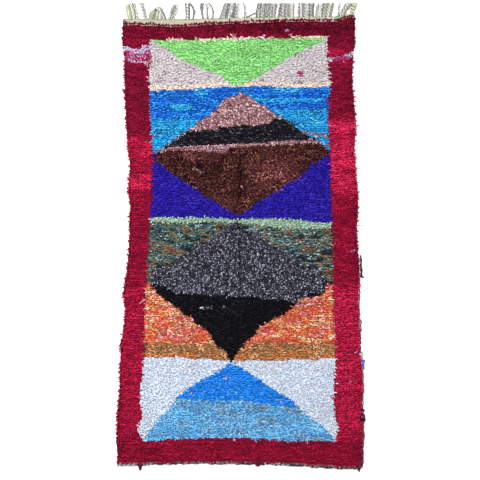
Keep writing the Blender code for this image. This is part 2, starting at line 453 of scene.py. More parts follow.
class Wire:
    """A node's output that takes part in arithmetic. On a colour or a vector it works part by part."""

    def __init__(self, bench: "Bench", socket: Any, many: bool = False) -> None:
        """Wraps a socket.

        Args:
            bench: the node tree's bench.
            socket: the output socket.
            many: True for a colour or a vector.
        """
        self.bench = bench
        self.socket = socket
        self.many = many

    def join(self, operation: str, first: Any, second: Any) -> "Wire":
        """Joins two terms with one Math or Vector Math node.

        Args:
            operation: the node's operation.
            first: a wire or a number.
            second: a wire or a number.

        Returns:
            The node's result.
        """
        terms = [first, second]
        if any(isinstance(term, Wire) and term.many for term in terms):
            terms = [term if isinstance(term, (Wire, tuple)) else (term,) * 3 for term in terms]
            sockets = {0: terms[0], 1: terms[1]}
            made = self.bench.node("ShaderNodeVectorMath", {"operation": operation}, sockets)
            return Wire(self.bench, made.outputs[0], many=True)
        made = self.bench.node("ShaderNodeMath", {"operation": operation}, {0: first, 1: second})
        return Wire(self.bench, made.outputs[0])

    def __add__(self, other: Any) -> "Wire":
        """Adds."""
        return self.join("ADD", self, other)

    __radd__ = __add__

    def __mul__(self, other: Any) -> "Wire":
        """Multiplies."""
        return self.join("MULTIPLY", self, other)

    __rmul__ = __mul__

    def __sub__(self, other: Any) -> "Wire":
        """Takes other away."""
        return self.join("SUBTRACT", self, other)

    def __rsub__(self, other: Any) -> "Wire":
        """Is taken away from other."""
        return self.join("SUBTRACT", other, self)

    def __pow__(self, other: float) -> "Wire":
        """Raises to a power."""
        return self.join("POWER", self, other)

    def above(self, limit: float) -> "Wire":
        """Gives 1 where the value is over limit, and 0 elsewhere."""
        return self.join("GREATER_THAN", self, limit)

    def alone(self, operation: str) -> "Wire":
        """Puts the value through one Math node that takes nothing else."""
        made = self.bench.node("ShaderNodeMath", {"operation": operation}, {0: self})
        return Wire(self.bench, made.outputs[0])

    def fold(self) -> "Wire":
        """Gives the distance to the middle of each whole step, from 0 at the middle to 0.5."""
        return (self.alone("FRACT") - 0.5).alone("ABSOLUTE")

    def grey(self) -> "Wire":
        """Turns a number into a grey colour, so that it can scale a colour."""
        made = self.bench.node("ShaderNodeCombineXYZ", {}, {0: self, 1: self, 2: self})
        return Wire(self.bench, made.outputs[0], many=True)


class Bench:
    """The node tree of one material, and the one way of adding a node to it."""

    def __init__(self, name: str) -> None:
        """Starts a material that holds a Principled shader and its output.

        Args:
            name: the material's name.
        """
        self.material = bpy.data.materials.new(name)
        self.material.use_nodes = True
        self.tree = self.material.node_tree
        self.shader = self.tree.nodes["Principled BSDF"]

    def node(self, kind: str, settings: dict[str, Any], sockets: dict[Any, Any]) -> Any:
        """Adds a node.

        Args:
            kind: the node's type.
            settings: its properties, and a ramp's stops as [(place, colour), ...].
            sockets: for each input, by number or name, a wire, a number or a tuple.

        Returns:
            The node.
        """
        made = self.tree.nodes.new(kind)
        for name, value in settings.items():
            if name == "stops":
                self.set_stops(made.color_ramp, value)
            elif name == "interpolation":
                made.color_ramp.interpolation = value
            else:
                setattr(made, name, value)
        for name, value in sockets.items():
            self.feed(made.inputs[name], value)
        return made

    def feed(self, socket: Any, value: Any) -> None:
        """Links a wire to a socket, or sets the socket.

        Args:
            socket: the input.
            value: a wire, a number or a tuple.
        """
        if isinstance(value, Wire):
            self.tree.links.new(value.socket, socket)
        elif isinstance(value, tuple) and socket.type == "RGBA":
            socket.default_value = (*value, 1.0)
        else:
            socket.default_value = value

    @staticmethod
    def set_stops(ramp: Any, stops: list[tuple[float, Rgb]]) -> None:
        """Gives a colour ramp its stops.

        Args:
            ramp: the ramp.
            stops: its places and colours.
        """
        while len(ramp.elements) > 1:
            ramp.elements.remove(ramp.elements[-1])
        for number, (place, colour) in enumerate(stops):
            element = ramp.elements[0] if number == 0 else ramp.elements.new(place)
            element.position = place
            element.color = (*colour, 1.0)

    def reading(self, name: str) -> Wire:
        """Reads a number stored on the mesh."""
        made = self.node("ShaderNodeAttribute", {"attribute_name": name}, {})
        return Wire(self, made.outputs["Fac"])

    def colour_reading(self, name: str) -> Wire:
        """Reads a colour stored on the mesh."""
        made = self.node("ShaderNodeAttribute", {"attribute_name": name}, {})
        return Wire(self, made.outputs["Color"], many=True)

    def place(self) -> Wire:
        """Gives the place on the rug, in metres."""
        return Wire(self, self.node("ShaderNodeTexCoord", {}, {}).outputs["Object"], many=True)

    def cloud(self, at: Wire, stretch: Rgb, detail: float = 2.0) -> Wire:
        """Gives smooth noise.

        Args:
            at: the place.
            stretch: the number of clouds in a metre, along each axis.
            detail: how many finer layers it has.

        Returns:
            Values mostly from 0.3 to 0.7.
        """
        made = self.node("ShaderNodeTexNoise", {}, {"Vector": at * stretch, "Scale": 1.0, "Detail": detail})
        return Wire(self, made.outputs["Fac"])

    def ramp(self, at: Wire, stops: list[tuple[float, Rgb]], interpolation: str = "LINEAR") -> Wire:
        """Turns a number into a colour by a ramp of stops.

        Args:
            at: the number.
            stops: the ramp's places and colours.
            interpolation: how it goes from one to the next.

        Returns:
            The colour.
        """
        settings = {"interpolation": interpolation, "stops": stops}
        made = self.node("ShaderNodeValToRGB", settings, {"Fac": at})
        return Wire(self, made.outputs["Color"], many=True)

    def blend(self, share: Any, first: Any, second: Any) -> Wire:
        """Mixes two colours.

        Args:
            share: how much of the second, from 0 to 1.
            first: a wire or a colour.
            second: a wire or a colour.

        Returns:
            The mixed colour.
        """
        made = self.node("ShaderNodeMix", {"data_type": "RGBA"}, {0: share, 6: first, 7: second})
        return Wire(self, made.outputs[2], many=True)

    def relief(self, height: Wire, depth: float) -> Wire:
        """Gives the normal of a small relief that is depth deep."""
        made = self.node("ShaderNodeBump", {}, {"Strength": 1.0, "Distance": depth, "Height": height})
        return Wire(self, made.outputs["Normal"], many=True)

    def finish(self, gloss: float, **inputs: Any) -> Material:
        """Feeds the shader.

        Args:
            gloss: the strength of its highlight.
            inputs: the shader's inputs, with an underscore for each space in the name.

        Returns:
            The material.
        """
        self.shader.inputs["Specular IOR Level"].default_value = gloss
        for name, value in inputs.items():
            self.feed(self.shader.inputs[name.replace("_", " ")], value)
        return self.material


# --- finishes

# How fine each noise is: the number of clouds in a metre, along each axis.
ROW_CHANGES = (1.6, 26.0, 0.0)
ROW_STREAKS = (15.0, 84.0, 0.0)
RAG_THREADS = (620.0, 620.0, 620.0)
RAG_WEAVE = (1500.0, 1500.0, 1500.0)
SPUN_FIBRES = (900.0, 300.0, 900.0)
YARN_BLOTCHES = (60.0, 40.0, 60.0)
WEFT_FIBRES = (500.0, 900.0, 500.0)

@dataclass(frozen=True)
class RagFinish:
    """One lot of rags: its dyes and how they vary.

    Attributes:
        dyes: (colour, share of the rags) pairs, in 0 to 255.
        streak: share of the knots that take their row's dye for that stretch.
        run: length of such a stretch.
        rows: knot rows that share it.
        abrash: depth of the slow changes of tone from row to row.
        waves: depth of the short streaks along the rows.
        fleck: depth of the changes from tuft to tuft.
        row_shadow: depth of the painted shadows between rows.
        root_shade: how much darker a rag is painted at its root, as painted shade down among the rags.
        blended: True where the dyes shade into each other.
    """

    dyes: tuple[tuple[Rgb, float], ...]
    streak: float = 0.5
    run: float = 0.06
    rows: int = 1
    abrash: float = 0.25
    waves: float = 0.25
    fleck: float = 0.28
    row_shadow: float = 0.48
    root_shade: float = 0.70
    blended: bool = False

    def stops(self) -> list[tuple[float, Rgb]]:
        """Gives the ramp's stops.

        Returns:
            A place and a colour for each dye, which holds its share of the length.
        """
        total = sum(share for _, share in self.dyes)
        stops, start = [], 0.0
        for number, (colour, share) in enumerate(self.dyes):
            place = start if not self.blended else number / max(len(self.dyes) - 1, 1)
            stops.append((place, linear(colour)))
            start += share / total
        return stops

    def mean(self) -> Rgb:
        """Gives the lot's mean colour.

        Returns:
            The colour, on the linear scale.
        """
        total = sum(share for _, share in self.dyes)
        colours = np.array([linear(colour) for colour, _ in self.dyes])
        shares = np.array([share for _, share in self.dyes])
        return tuple((colours * shares[:, None]).sum(0) / total)

    def material(self, name: str) -> Material:
        """Makes the lot's material.

        Args:
            name: the material's name.

        Returns:
            The material, which reads pick, tuft, tip, shade and valley from the mesh.
        """
        bench = Bench(name)
        at = bench.place()
        dye = bench.ramp(bench.reading("pick"), self.stops(), "LINEAR" if self.blended else "CONSTANT")
        slow = bench.cloud(at, ROW_CHANGES, 3.0)
        waves = bench.cloud(at, ROW_STREAKS, 1.0)
        thread = bench.cloud(at, RAG_THREADS, 2.0)
        tone = 1.0 + self.fleck * (bench.reading("tuft") - 0.5)
        tone = tone * (1.0 + 2.0 * self.abrash * (slow - 0.5)) * (1.0 + 2.0 * self.waves * (waves - 0.5))
        # painted shade: darker between the rows of knots, by the valley reading
        tone = tone * (1.0 + bench.reading("shade")) * (1.0 - self.row_shadow * bench.reading("valley") ** 2.0)
        # painted shade: each rag is darker towards its root, down among the other rags
        tone = tone * (1.0 - self.root_shade + self.root_shade * bench.reading("tip")) * (0.80 + 0.40 * thread)
        colour = dye * tone.grey()
        weave = bench.cloud(at, RAG_WEAVE, 1.0)
        rough = 0.80 + 0.28 * (thread - 0.3)
        normal = bench.relief(thread + 0.5 * weave, 0.0012)
        return bench.finish(0.03, Base_Color=colour, Roughness=rough, Normal=normal)


RED_DYES = (
    ((58, 10, 24), 1.0),
    ((106, 13, 39), 1.0),
    ((158, 18, 54), 1.0),
    ((208, 38, 80), 1.0),
    ((236, 80, 116), 1.0),
)
RED_RAGS = RagFinish(
    RED_DYES,
    streak=1.0, abrash=0.30, waves=0.80, fleck=0.35, row_shadow=0.40, root_shade=0.60, blended=True,
)

FINISHES = {
    Lot.LEFT_BORDER: RED_RAGS,
    Lot.RIGHT_BORDER: RED_RAGS,
    Lot.PLAIN_BORDER: RED_RAGS,
    Lot.FRINGE_BORDER: RED_RAGS,
    Lot.LILAC: RagFinish(
        (((201, 182, 222), 0.55), ((212, 208, 228), 0.30), ((170, 63, 121), 0.15)),
        streak=0.1, root_shade=0.4,
    ),
    Lot.MAGENTA: RagFinish(
        (((178, 68, 121), 0.45), ((149, 33, 80), 0.30), ((210, 156, 190), 0.25)),
        streak=0.2, root_shade=0.4,
    ),
    Lot.LIME: RagFinish(
        (((136, 203, 122), 0.70), ((120, 190, 106), 0.20), ((160, 216, 149), 0.08), ((79, 139, 75), 0.02)),
        streak=0.4, run=0.03, waves=0.42, fleck=0.12, row_shadow=0.24, root_shade=0.34,
    ),
    Lot.BLUSH: RagFinish(
        (((185, 178, 182), 0.58), ((194, 189, 187), 0.26), ((171, 158, 170), 0.13), ((129, 97, 116), 0.03)),
        streak=0.5, run=0.04, abrash=0.10, waves=0.24, fleck=0.06, row_shadow=0.18, root_shade=0.10,
    ),
    Lot.PEACH: RagFinish(
        (((214, 197, 182), 0.6), ((221, 209, 199), 0.3), ((206, 174, 154), 0.1)),
        streak=0.3, fleck=0.2, row_shadow=0.2, root_shade=0.35,
    ),
    Lot.AZURE: RagFinish(
        (((29, 97, 205), 0.40), ((42, 134, 227), 0.32), ((21, 73, 181), 0.16), ((72, 180, 238), 0.12)),
        streak=0.7, run=0.10, rows=2, abrash=0.3, waves=0.5, root_shade=0.6,
    ),
    Lot.CYAN: RagFinish(
        (((45, 161, 222), 0.5), ((34, 137, 210), 0.26), ((80, 190, 228), 0.16), ((24, 94, 160), 0.08)),
        streak=0.6, run=0.10, rows=2, abrash=0.2, waves=0.4, root_shade=0.6,
    ),
    Lot.MAUVE: RagFinish(
        (((180, 136, 141), 0.40), ((144, 99, 105), 0.26), ((218, 184, 189), 0.20), ((101, 61, 63), 0.14)),
        streak=0.1, fleck=0.5, root_shade=0.65,
    ),
    Lot.COAL: RagFinish(
        (((26, 24, 30), 0.62), ((51, 49, 58), 0.24), ((85, 83, 93), 0.08), ((15, 15, 20), 0.06)),
        streak=0.4, fleck=0.5,
    ),
    Lot.ROSE: RagFinish(
        (((184, 139, 148), 0.54), ((209, 174, 178), 0.22), ((131, 89, 98), 0.24)),
        streak=0.1, fleck=0.5, root_shade=0.6,
    ),
    Lot.BROWN: RagFinish(
        (
            ((89, 46, 47), 0.40),
            ((55, 25, 31), 0.28),
            ((113, 67, 59), 0.20),
            ((145, 95, 80), 0.06),
            ((34, 17, 21), 0.06),
        ),
        streak=0.65, run=0.04, rows=2, abrash=0.45, waves=0.6, fleck=0.3, root_shade=0.7,
    ),
    Lot.INDIGO: RagFinish(
        (((44, 31, 159), 0.66), ((34, 22, 139), 0.2), ((62, 47, 176), 0.14)),
        streak=0.6, waves=0.35, row_shadow=0.32, root_shade=0.6,
    ),
    Lot.MINT: RagFinish(
        (((155, 188, 161), 0.6), ((182, 202, 188), 0.25), ((120, 160, 135), 0.15)),
        streak=0.2, row_shadow=0.25, root_shade=0.45,
    ),
    Lot.MELANGE: RagFinish(
        (
            ((35, 40, 42), 0.18),
            ((54, 64, 96), 0.06),
            ((68, 104, 110), 0.13),
            ((148, 184, 200), 0.07),
            ((87, 110, 92), 0.15),
            ((107, 118, 110), 0.16),
            ((120, 108, 78), 0.13),
            ((138, 100, 72), 0.10),
            ((101, 58, 54), 0.03),
        ),
        streak=0.82, run=0.034, waves=0.5, fleck=0.5, root_shade=0.6,
    ),
    Lot.TWEED: RagFinish(
        (((28, 28, 38), 0.48), ((66, 66, 80), 0.17), ((178, 178, 198), 0.24), ((120, 120, 134), 0.11)),
        streak=0.0, abrash=0.12, waves=0.35, fleck=0.4, root_shade=0.7,
    ),
    Lot.BLACK: RagFinish((((20, 19, 24), 0.8), ((34, 32, 38), 0.18), ((50, 48, 54), 0.02)), streak=0.3),
    Lot.EMBER: RagFinish(
        (
            ((235, 204, 172), 0.10),
            ((232, 167, 104), 0.18),
            ((222, 111, 66), 0.27),
            ((206, 72, 66), 0.20),
            ((228, 118, 120), 0.13),
            ((235, 177, 181), 0.07),
            ((146, 99, 53), 0.05),
        ),
        streak=0.85, run=0.045, waves=0.4, fleck=0.3, root_shade=0.55,
    ),
    Lot.RUST: RagFinish(
        (((192, 130, 83), 0.34), ((211, 120, 65), 0.28), ((147, 106, 75), 0.24), ((221, 178, 129), 0.14)),
        streak=0.7, run=0.04, root_shade=0.6,
    ),
    Lot.OLIVE: RagFinish(
        (
            ((173, 125, 86), 0.36),
            ((141, 104, 69), 0.28),
            ((217, 134, 82), 0.22),
            ((236, 187, 150), 0.10),
            ((93, 59, 44), 0.04),
        ),
        streak=0.7, run=0.04, root_shade=0.6,
    ),
    Lot.WHITE: RagFinish(
        (((209, 220, 234), 0.5), ((195, 210, 231), 0.32), ((213, 210, 221), 0.14), ((184, 171, 182), 0.04)),
        streak=0.4, abrash=0.06, waves=0.24, fleck=0.14, row_shadow=0.26, root_shade=0.26,
    ),
    Lot.COBALT: RagFinish(
        (((39, 137, 236), 0.64), ((29, 115, 222), 0.22), ((73, 163, 239), 0.14)),
        streak=0.5, row_shadow=0.3, root_shade=0.5,
    ),
    Lot.SKY: RagFinish(
        (
            ((102, 180, 231), 0.40),
            ((138, 195, 233), 0.22),
            ((79, 153, 220), 0.18),
            ((142, 171, 193), 0.14),
            ((82, 116, 144), 0.04),
        ),
        streak=0.7, run=0.07, rows=2, waves=0.40, fleck=0.22, row_shadow=0.38, root_shade=0.48,
    ),
}


@dataclass(frozen=True)
class YarnFinish:
    """Spun yarn in the fringe, the band and the cords, whose colour comes from the mesh.

    Attributes:
        relief: how deep its fibres are.
    """

    relief: float = 0.0008

    def material(self, name: str) -> Material:
        """Makes the yarn's material.

        Args:
            name: the material's name.

        Returns:
            The material, which reads dye and tuft from the mesh.
        """
        bench = Bench(name)
        at = bench.place()
        fibre = bench.cloud(at, SPUN_FIBRES, 3.0)
        blotch = bench.cloud(at, YARN_BLOTCHES, 2.0)
        tone = (0.52 + 0.50 * fibre) * (0.80 + 0.4 * blotch) * (0.80 + 0.4 * bench.reading("tuft"))
        colour = bench.colour_reading("dye") * tone.grey()
        normal = bench.relief(fibre, self.relief)
        return bench.finish(0.06, Base_Color=colour, Roughness=0.78 + 0.25 * (fibre - 0.3), Normal=normal)


@dataclass(frozen=True)
class GroundFinish:
    """The woven ground, seen on the back: rows of knot backs between weft, and bare weave at the ends.

    Attributes:
        weft: colour of the weft between the rows.
    """

    weft: Rgb = (150, 138, 124)

    def material(self, name: str) -> Material:
        """Makes the ground's material.

        Args:
            name: the material's name.

        Returns:
            The material, which reads dye, bare and the weave map from the mesh.
        """
        bench = Bench(name)
        at = bench.place()
        split = bench.node("ShaderNodeSeparateXYZ", {}, {0: self.weave_map(bench)})
        knot = Wire(bench, split.outputs[0])
        row = Wire(bench, split.outputs[1])
        fibre = bench.cloud(at, WEFT_FIBRES, 3.0)
        rib = row.fold() * 2.0
        bead = 1.0 - knot.fold() * 2.0
        is_weft = (rib + 0.25 * (fibre - 0.5)).above(0.58)
        # painted shade: each knot back is lighter in its middle and darker towards its sides, where it meets
        # the next
        tone = (0.55 + 0.45 * bead) * (0.75 + 0.5 * fibre)
        knots = bench.colour_reading("dye") * tone.grey()
        weft = bench.blend(bench.reading("bare"), linear(self.weft), bench.colour_reading("dye"))
        cover = weft * (0.62 + 0.7 * fibre).grey()
        colour = bench.blend(is_weft, knots, cover)
        height = bead * (1.0 - rib) + 0.4 * fibre
        normal = bench.relief(height, 0.0016)
        return bench.finish(0.04, Base_Color=colour, Roughness=0.82 + 0.2 * (fibre - 0.3), Normal=normal)

    @staticmethod
    def weave_map(bench: Bench) -> Wire:
        """Gives the place in the weave, in knots across and rows along."""
        made = bench.node("ShaderNodeUVMap", {"uv_map": "weave"}, {})
        return Wire(bench, made.outputs[0], many=True)


# --- meshes

@dataclass
class Soup:
    """Vertices, faces and readings that grow into one mesh."""

    points: list[Array] = field(default_factory=list)
    quads: list[Array] = field(default_factory=list)
    triangles: list[Array] = field(default_factory=list)
    readings: dict[str, list[Array]] = field(default_factory=dict)
    colours: list[Array] = field(default_factory=list)
    quad_maps: list[Array] = field(default_factory=list)
    triangle_maps: list[Array] = field(default_factory=list)
    count: int = 0

    def add(self, points: Array, quads: Array, triangles: Array, **readings: Array) -> None:
        """Adds a part.

        Args:
            points: its vertices.
            quads: its four-cornered faces, by vertex.
            triangles: its three-cornered faces, by vertex.
            readings: for each vertex, numbers by name, or colours under dye.
        """
        self.points.append(points)
        self.quads.append(quads + self.count)
        self.triangles.append(triangles + self.count)
        for name, values in readings.items():
            if name == "dye":
                self.colours.append(values)
            else:
                self.readings.setdefault(name, []).append(values)
        self.count += len(points)

    def build(self, name: str, material: Material) -> Piece:
        """Makes the object.

        Args:
            name: the object's name.
            material: its material.

        Returns:
            The object, smooth shaded.
        """
        points = np.concatenate(self.points)
        quads = np.concatenate(self.quads)
        triangles = np.concatenate(self.triangles)
        corners = np.concatenate([quads.ravel(), triangles.ravel()]).astype(np.int32)
        sizes = np.concatenate([np.full(len(quads), 4), np.full(len(triangles), 3)])
        mesh = bpy.data.meshes.new(name)
        mesh.vertices.add(len(points))
        mesh.vertices.foreach_set("co", points.astype(np.float32).ravel())
        mesh.loops.add(len(corners))
        mesh.loops.foreach_set("vertex_index", corners)
        mesh.polygons.add(len(sizes))
        starts = np.concatenate([[0], np.cumsum(sizes)[:-1]]).astype(np.int32)
        mesh.polygons.foreach_set("loop_start", starts)
        mesh.update(calc_edges=True)
        mesh.shade_smooth()
        for reading, parts in self.readings.items():
            layer = mesh.attributes.new(reading, "FLOAT", "POINT")
            layer.data.foreach_set("value", np.concatenate(parts).astype(np.float32))
        if self.colours:
            layer = mesh.attributes.new("dye", "FLOAT_COLOR", "POINT")
            shades = np.concatenate(self.colours)
            shades = np.concatenate([shades, np.ones((len(shades), 1))], axis=1)
            layer.data.foreach_set("color", shades.astype(np.float32).ravel())
        if self.quad_maps:
            layer = mesh.uv_layers.new(name="OFBake")
            places = np.concatenate([np.concatenate(self.quad_maps), np.concatenate(self.triangle_maps)])
            layer.uv.foreach_set("vector", places.astype(np.float32).ravel())
        mesh.materials.append(material)
        piece = bpy.data.objects.new(name, mesh)
        bpy.context.scene.collection.objects.link(piece)
        return piece


def triangles_in(piece: Piece) -> int:
    """Counts the triangles of a piece's mesh."""
    return sum(len(polygon.vertices) - 2 for polygon in piece.data.polygons)


def frames_along(paths: Array) -> tuple[Array, Array, Array]:
    """Finds directions along many paths at once.

    Args:
        paths: points, as (path, step, 3).

    Returns:
        At each point, the way along, sideways and upwards.
    """
    along = np.gradient(paths, axis=1)
    along /= np.linalg.norm(along, axis=2, keepdims=True) + 1e-12
    up = np.zeros_like(along)
    up[..., 2] = 1.0
    side = np.cross(along, up)
    size = np.linalg.norm(side, axis=2, keepdims=True)
    side = np.where(size > 1e-4, side / np.maximum(size, 1e-9), np.array([1.0, 0.0, 0.0]))
    return along, side, np.cross(side, along)


def tubes(paths: Array, radii: Array, sides: int) -> tuple[Array, Array, Array]:
    """Builds closed tubes round many paths.

    Args:
        paths: points, as (path, step, 3).
        radii: their radii, as (path, step).
        sides: corners of a section.

    Returns:
        Vertices, four-cornered faces and three-cornered faces, with the ends closed to a point.
    """
    count, steps = paths.shape[:2]
    along, side, up = frames_along(paths)
    turn = np.arange(sides) * 2 * math.pi / sides
    ring = side[:, :, None] * np.cos(turn)[:, None] + up[:, :, None] * np.sin(turn)[:, None]
    rings = paths[:, :, None] + radii[:, :, None, None] * ring
    first = paths[:, :1] - along[:, :1] * radii[:, :1, None] * 0.5
    last = paths[:, -1:] + along[:, -1:] * radii[:, -1:, None] * 0.5
    points = np.concatenate([rings.reshape(count, -1, 3), first, last], axis=1)
    here = np.arange(sides)
    after = (here + 1) % sides
    quads = [
        np.stack([here + s * sides, after + s * sides, after + (s + 1) * sides, here + (s + 1) * sides], 1)
        for s in range(steps - 1)
    ]
    low, high = steps * sides, steps * sides + 1
    top = (steps - 1) * sides
    first_cap = np.stack([after, here, np.full(sides, low)], 1)
    last_cap = np.stack([here + top, after + top, np.full(sides, high)], 1)
    ends = np.concatenate([first_cap, last_cap])
    shift = (np.arange(count) * (steps * sides + 2))[:, None, None]
    quads = (np.concatenate(quads)[None] + shift).reshape(-1, 4)
    return points.reshape(-1, 3), quads, (ends[None] + shift).reshape(-1, 3)


# --- the rug's edges

class Outline:
    """The edges of the pile and of the bare ground, read from the solid of the rug."""

    WALL = (0.0135, 0.0145)      # heights that hold the upper rim of the pile's upright side
    BAND_TOP = (0.0035, 0.0045)  # heights that hold the top of the bare band
    SIDE_SHARE = 0.42            # share of the width from which a point on the rim is on a side
    END_SHARE = 0.45             # share of the width up to which it is on an end
    SIDE_STOPS = (0.050, 0.085)  # how far the sides' curves stop short of the plain and fringe ends
    END_DEPTHS = (0.100, 0.150)  # how far in from each end the end's rim lies
    BAND_GAP = 0.010             # the band's end is at least this far past the pile

    def __init__(self, node: Piece) -> None:
        """Reads the solid.

        Args:
            node: the CAD solid of the rug.
        """
        low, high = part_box("rug")
        self.middle = (low.x + high.x) / 2
        self.plain_end = low.y
        self.fringe_end = high.y
        points = np.array([vertex.co for vertex in node.data.vertices], float)
        height = points[:, 2]
        wall = points[(height > self.WALL[0]) & (height < self.WALL[1])]
        offset = wall[:, 0] - self.middle
        width = high.x - low.x
        between = (wall[:, 1] > low.y + self.SIDE_STOPS[0]) & (wall[:, 1] < high.y - self.SIDE_STOPS[1])
        sides = (np.abs(offset) > self.SIDE_SHARE * width) & between
        ends = np.abs(offset) < self.END_SHARE * width
        self.left_edge = self.sorted_by(wall[sides & (offset < 0)], 1, 0)
        self.right_edge = self.sorted_by(wall[sides & (offset > 0)], 1, 0)
        self.low_edge = self.sorted_by(wall[ends & (wall[:, 1] < low.y + self.END_DEPTHS[0])], 0, 1)
        self.high_edge = self.sorted_by(wall[ends & (wall[:, 1] > high.y - self.END_DEPTHS[1])], 0, 1)
        band = points[(height > self.BAND_TOP[0]) & (height < self.BAND_TOP[1])]
        beyond = band[:, 1] > self.high(band[:, 0]) + self.BAND_GAP
        self.band_edge = self.sorted_by(band[beyond], 0, 1)

    @staticmethod
    def sorted_by(points: Array, key: int, value: int) -> tuple[Array, Array]:
        """Gives a curve through points: its sorted places, and its values there."""
        order = np.argsort(points[:, key])
        return points[order, key], points[order, value]

    def left(self, y: Array) -> Array:
        """Gives x of the pile's left edge at y."""
        return np.interp(y, *self.left_edge)

    def right(self, y: Array) -> Array:
        """Gives x of the pile's right edge at y."""
        return np.interp(y, *self.right_edge)

    def low(self, x: Array) -> Array:
        """Gives y of the pile's plain end at x."""
        return np.interp(x, *self.low_edge)

    def high(self, x: Array) -> Array:
        """Gives y of the pile's fringe end at x."""
        return np.interp(x, *self.high_edge)

    def band(self, x: Array) -> Array:
        """Gives y of the woven band's end, where the fringe starts, at x."""
        return np.interp(x, *self.band_edge)

    def spot(self, u: Array, v: Array, insets: tuple[float, ...]) -> tuple[Array, Array]:
        """Finds a place on the pile from shares of its width and length.

        Args:
            u: share of the width, from the left.
            v: share of the length, from the plain end.
            insets: how far u and v stop short of the left, right, plain and fringe edges.

        Returns:
            x and y.
        """
        rough = self.plain_end + v * (self.fringe_end - self.plain_end)
        left, right = self.left(rough) + insets[0], self.right(rough) - insets[1]
        x = left + u * (right - left)
        low, high = self.low(x) + insets[2], self.high(x) - insets[3]
        return x, low + v * (high - low)


# --- the pile

@dataclass(frozen=True)
class Cut:
    """How the rags of a lot are cut and how they lie.

    Attributes:
        width: a strip's width.
        length: its length from the knot.
        rise: height of its top above the ground.
        heading: the way it mostly lies, in degrees from the X axis.
        spread: how far it strays from that, in degrees.
        two_way: True where half of the strips lie the opposite way.
    """

    width: float = 0.0068
    length: float = 0.0182
    rise: float = 0.0130
    heading: float = -90.0
    spread: float = 75.0
    two_way: bool = False


SIDEWAYS = Cut(width=0.0066, length=0.0218, rise=0.0112, heading=0.0, spread=16.0, two_way=True)
STROKE = Cut(width=0.0064, length=0.0210, rise=0.0116, heading=-30.0, spread=26.0, two_way=True)
WAVY = Cut(width=0.0064, length=0.0216, rise=0.0112, heading=-8.0, spread=26.0, two_way=True)
UPRIGHT = Cut(width=0.0068, length=0.0200, rise=0.0120, heading=90.0, spread=30.0, two_way=True)
SHORT = Cut(width=0.0076, length=0.0160, rise=0.0120)
TWEEDY = Cut(width=0.0056, length=0.0160, rise=0.0128, spread=90.0)
CUTS = {
    Lot.BROWN: Cut(),
    Lot.TWEED: TWEEDY,
    Lot.FRINGE_BORDER: UPRIGHT,
    **dict.fromkeys((Lot.LEFT_BORDER, Lot.RIGHT_BORDER, Lot.PLAIN_BORDER), SIDEWAYS),
    **dict.fromkeys((Lot.AZURE, Lot.CYAN, Lot.INDIGO, Lot.COBALT), SIDEWAYS),
    **dict.fromkeys((Lot.COAL, Lot.MELANGE, Lot.BLACK), SIDEWAYS),
    **dict.fromkeys((Lot.MAUVE, Lot.WHITE), STROKE),
    **dict.fromkeys((Lot.LIME, Lot.BLUSH, Lot.PEACH, Lot.SKY), WAVY),
    **dict.fromkeys((Lot.EMBER, Lot.OLIVE, Lot.RUST), WAVY),
    **dict.fromkeys((Lot.LILAC, Lot.MAGENTA, Lot.MINT, Lot.ROSE), SHORT),
}


@dataclass(frozen=True)
class Bend:
    """How a rag end stands.

    Attributes:
        sections: for each section, its share of the reach, of the rise and of the swing, its width as a
            share, and how far out along the rag it is.
        reach: least and most share of the length that it reaches sideways.
        droop: least and most share of the rise that its last section keeps.
    """

    sections: tuple[tuple[float, ...], ...]
    reach: tuple[float, float]
    droop: tuple[float, float]


LYING = Bend(
    sections=((0.0, 0.0, 0.0, 0.75, 0.0), (0.42, 0.80, 0.6, 1.0, 0.75), (1.0, 1.0, 1.0, 0.8, 1.0)),
    reach=(0.55, 0.95),
    droop=(0.55, 1.02),
)
STANDING = Bend(
    sections=((0.0, 0.0, 0.0, 0.8, 0.0), (1.0, 1.0, 0.6, 0.95, 1.0)),
    reach=(0.10, 0.55),
    droop=(0.75, 1.05),
)


